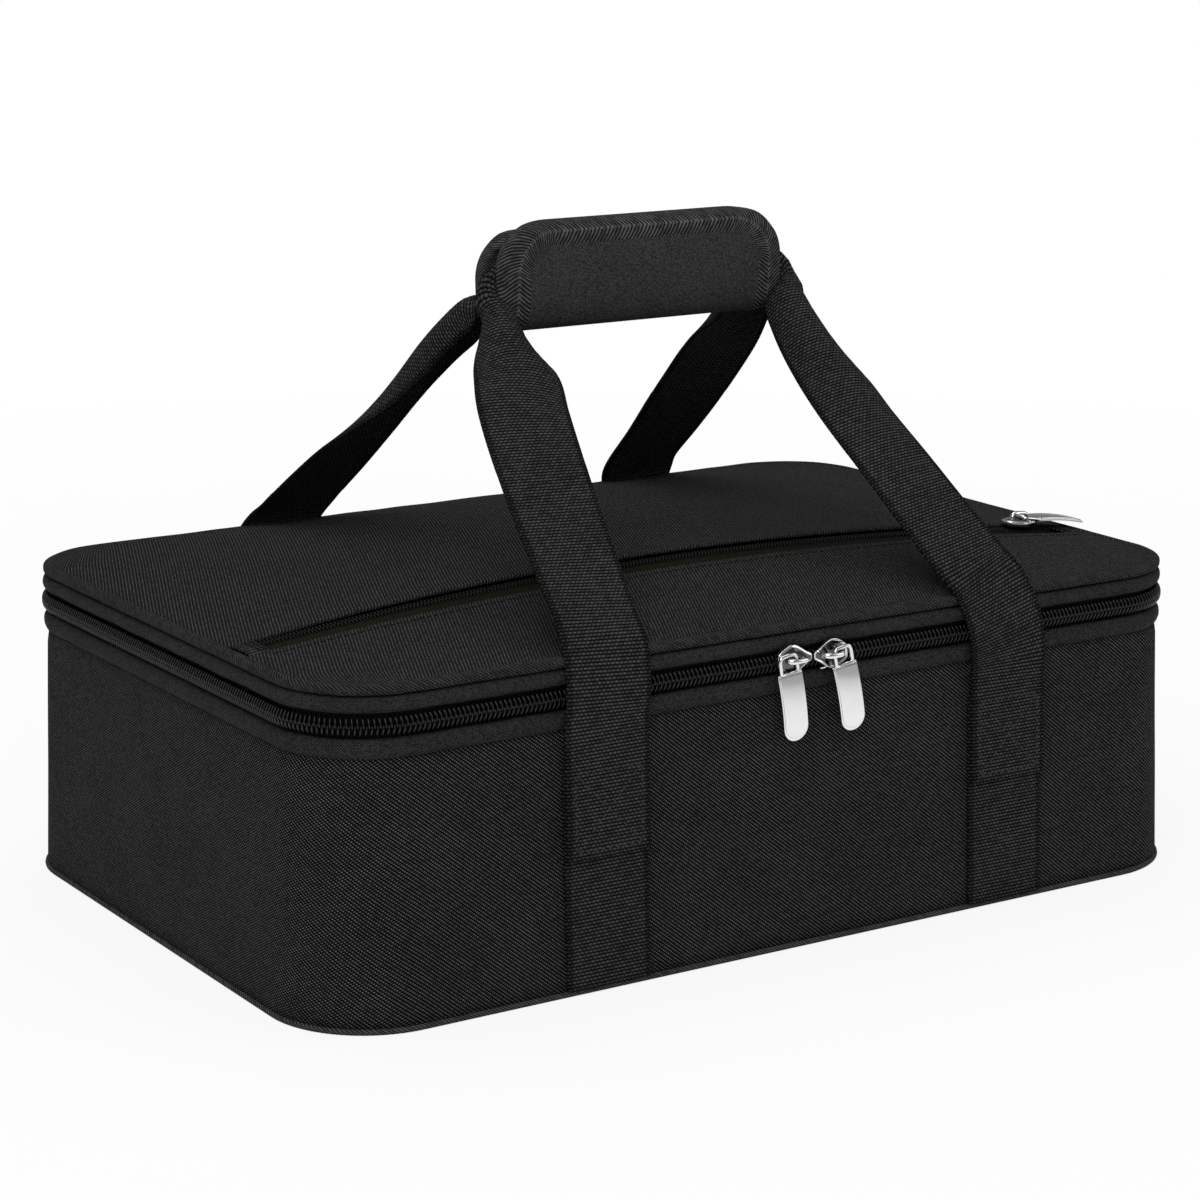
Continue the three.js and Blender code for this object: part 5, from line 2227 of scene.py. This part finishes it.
@dataclass
class Studio:
    """Camera, soft lamps and a plain white floor."""

    eye: tuple[float, float, float] = (-0.7368, -1.1508, 0.4384)
    azimuth: float = -32.56
    elevation: float = 13.33
    lens: float = 98.0
    sensor: float = 36.0
    aim: tuple[float, float, float] = (0.0, 0.0, 0.1)
    floor_size: float = 30.0
    floor_glow: float = 0.85
    floor_near: float = 0.35
    floor_fade: float = 0.9
    floor_dim: float = 0.6
    world_light: float = 0.45
    world_gloss: float = 0.2

    def build(self) -> None:
        """Builds the camera, then the stage and the lamps."""
        self.camera()
        self.floor()
        self.world()
        self.lamp("key", (-1.3, -1.3, 1.7), 1.6, 26.0)
        self.lamp("fill", (1.7, -1.2, 1.1), 1.6, 9.0)
        self.lamp("top", (0.0, 0.5, 2.0), 1.8, 14.0)
        bpy.context.scene.view_settings.view_transform = "Standard"

    def camera(self) -> None:
        """Sets the photograph's viewing angle."""
        data = bpy.data.cameras.new("camera")
        data.lens = self.lens
        data.sensor_width = self.sensor
        camera = bpy.data.objects.new("camera", data)
        azimuth, elevation = math.radians(self.azimuth), math.radians(self.elevation)
        back = Vector((
            math.sin(azimuth) * math.cos(elevation),
            -math.cos(azimuth) * math.cos(elevation),
            math.sin(elevation),
        ))
        camera.location = self.eye
        camera.rotation_euler = (-back).to_track_quat("-Z", "Y").to_euler()
        bpy.context.scene.collection.objects.link(camera)
        bpy.context.scene.camera = camera

    def lamp(self, name: str, place: tuple[float, float, float], size: float, power: float) -> None:
        """Adds a square soft lamp that points at the carrier.

        Args:
            name: the lamp's name.
            place: where it stands.
            size: length of its sides.
            power: its power in watts.
        """
        data = bpy.data.lights.new(name, "AREA")
        data.size = size
        data.energy = power
        lamp = bpy.data.objects.new(name, data)
        lamp.location = place
        aim = Vector(self.aim) - lamp.location
        lamp.rotation_euler = aim.to_track_quat("-Z", "Y").to_euler()
        bpy.context.scene.collection.objects.link(lamp)

    def floor(self) -> None:
        """A pale floor that looks white, keeps a soft shadow, and is dimmer far off in metal."""
        bm = bmesh.new()
        bmesh.ops.create_grid(bm, x_segments=2, y_segments=2, size=self.floor_size / 2)
        mesh = bpy.data.meshes.new("floor")
        bm.to_mesh(mesh)
        bm.free()
        floor = bpy.data.objects.new("floor", mesh)
        bpy.context.scene.collection.objects.link(floor)
        matt = {"Base Color": grey(0.86), "Roughness": 0.9, "Specular IOR Level": 0.0}
        shader = Shader("floor_white", matt)
        x, y, _ = shader.parts(shader.place())
        away = (x * x + y * y).math("SQRT")
        near, fade = self.floor_near, self.floor_fade
        far = ((away - near) / fade).math("MINIMUM", 1.0).math("MAXIMUM", 0.0)
        dim = self.floor_dim * far * (1.0 - shader.seen("Is Camera Ray"))
        glow = shader.node("ShaderNodeEmission", {}, {"Color": shader.between(dim, grey(1.0), grey(0.0))})
        seen = shader.seen("Is Camera Ray", "Is Glossy Ray", "Is Transmission Ray")
        share = seen * (self.floor_glow + (1.0 - self.floor_glow) * far)
        inputs = {0: share, 1: shader.surface.outputs[0], 2: glow.outputs[0]}
        mix = shader.node("ShaderNodeMixShader", {}, inputs)
        shader.tree.links.new(mix.outputs[0], shader.output.inputs["Surface"])
        mesh.materials.append(shader.material)

    def world(self) -> None:
        """White where the camera sees it, a grey room in metal, and a soft even light elsewhere."""
        world = bpy.data.worlds.new("studio")
        bpy.context.scene.world = world
        world.use_nodes = True
        tree = Tree(world.node_tree)
        light = tree.node("ShaderNodeBackground", {}, {"Color": grey(1.0), "Strength": self.world_light})
        views = ((self.world_gloss, ["Is Glossy Ray"]), (1.0, ["Is Camera Ray", "Is Transmission Ray"]))
        for strength, kinds in views:
            shown = tree.node("ShaderNodeBackground", {}, {"Color": grey(1.0), "Strength": strength})
            inputs = {0: tree.seen(*kinds), 1: light.outputs[0], 2: shown.outputs[0]}
            light = tree.node("ShaderNodeMixShader", {}, inputs)
        tree.node("ShaderNodeOutputWorld", {}, {"Surface": light.outputs[0]})


def main() -> None:
    """Builds the studio and every part of the carrier."""
    logging.basicConfig(level=logging.INFO, format="%(name)s: %(message)s")
    for start in list(bpy.data.objects):
        bpy.data.objects.remove(start)
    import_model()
    Studio().build()
    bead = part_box("rim_bead")[1]
    proud = 1.4 * MM
    outline = Outline(bead.x - proud, bead.y - proud, 38.0 * MM)
    case = Case(outline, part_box("side_wall_fabric")[1].z)
    lid = Lid(outline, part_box("lid_front_panel")[0].z + case.cloth)
    case.build()
    lid.build()
    Zips(outline, lid).build()
    Handles(case).build()
    Grip().build()
    Sliders(lid, outline.half_depth).build()
    bpy.context.view_layer.update()


if __name__ == "__main__":
    main()
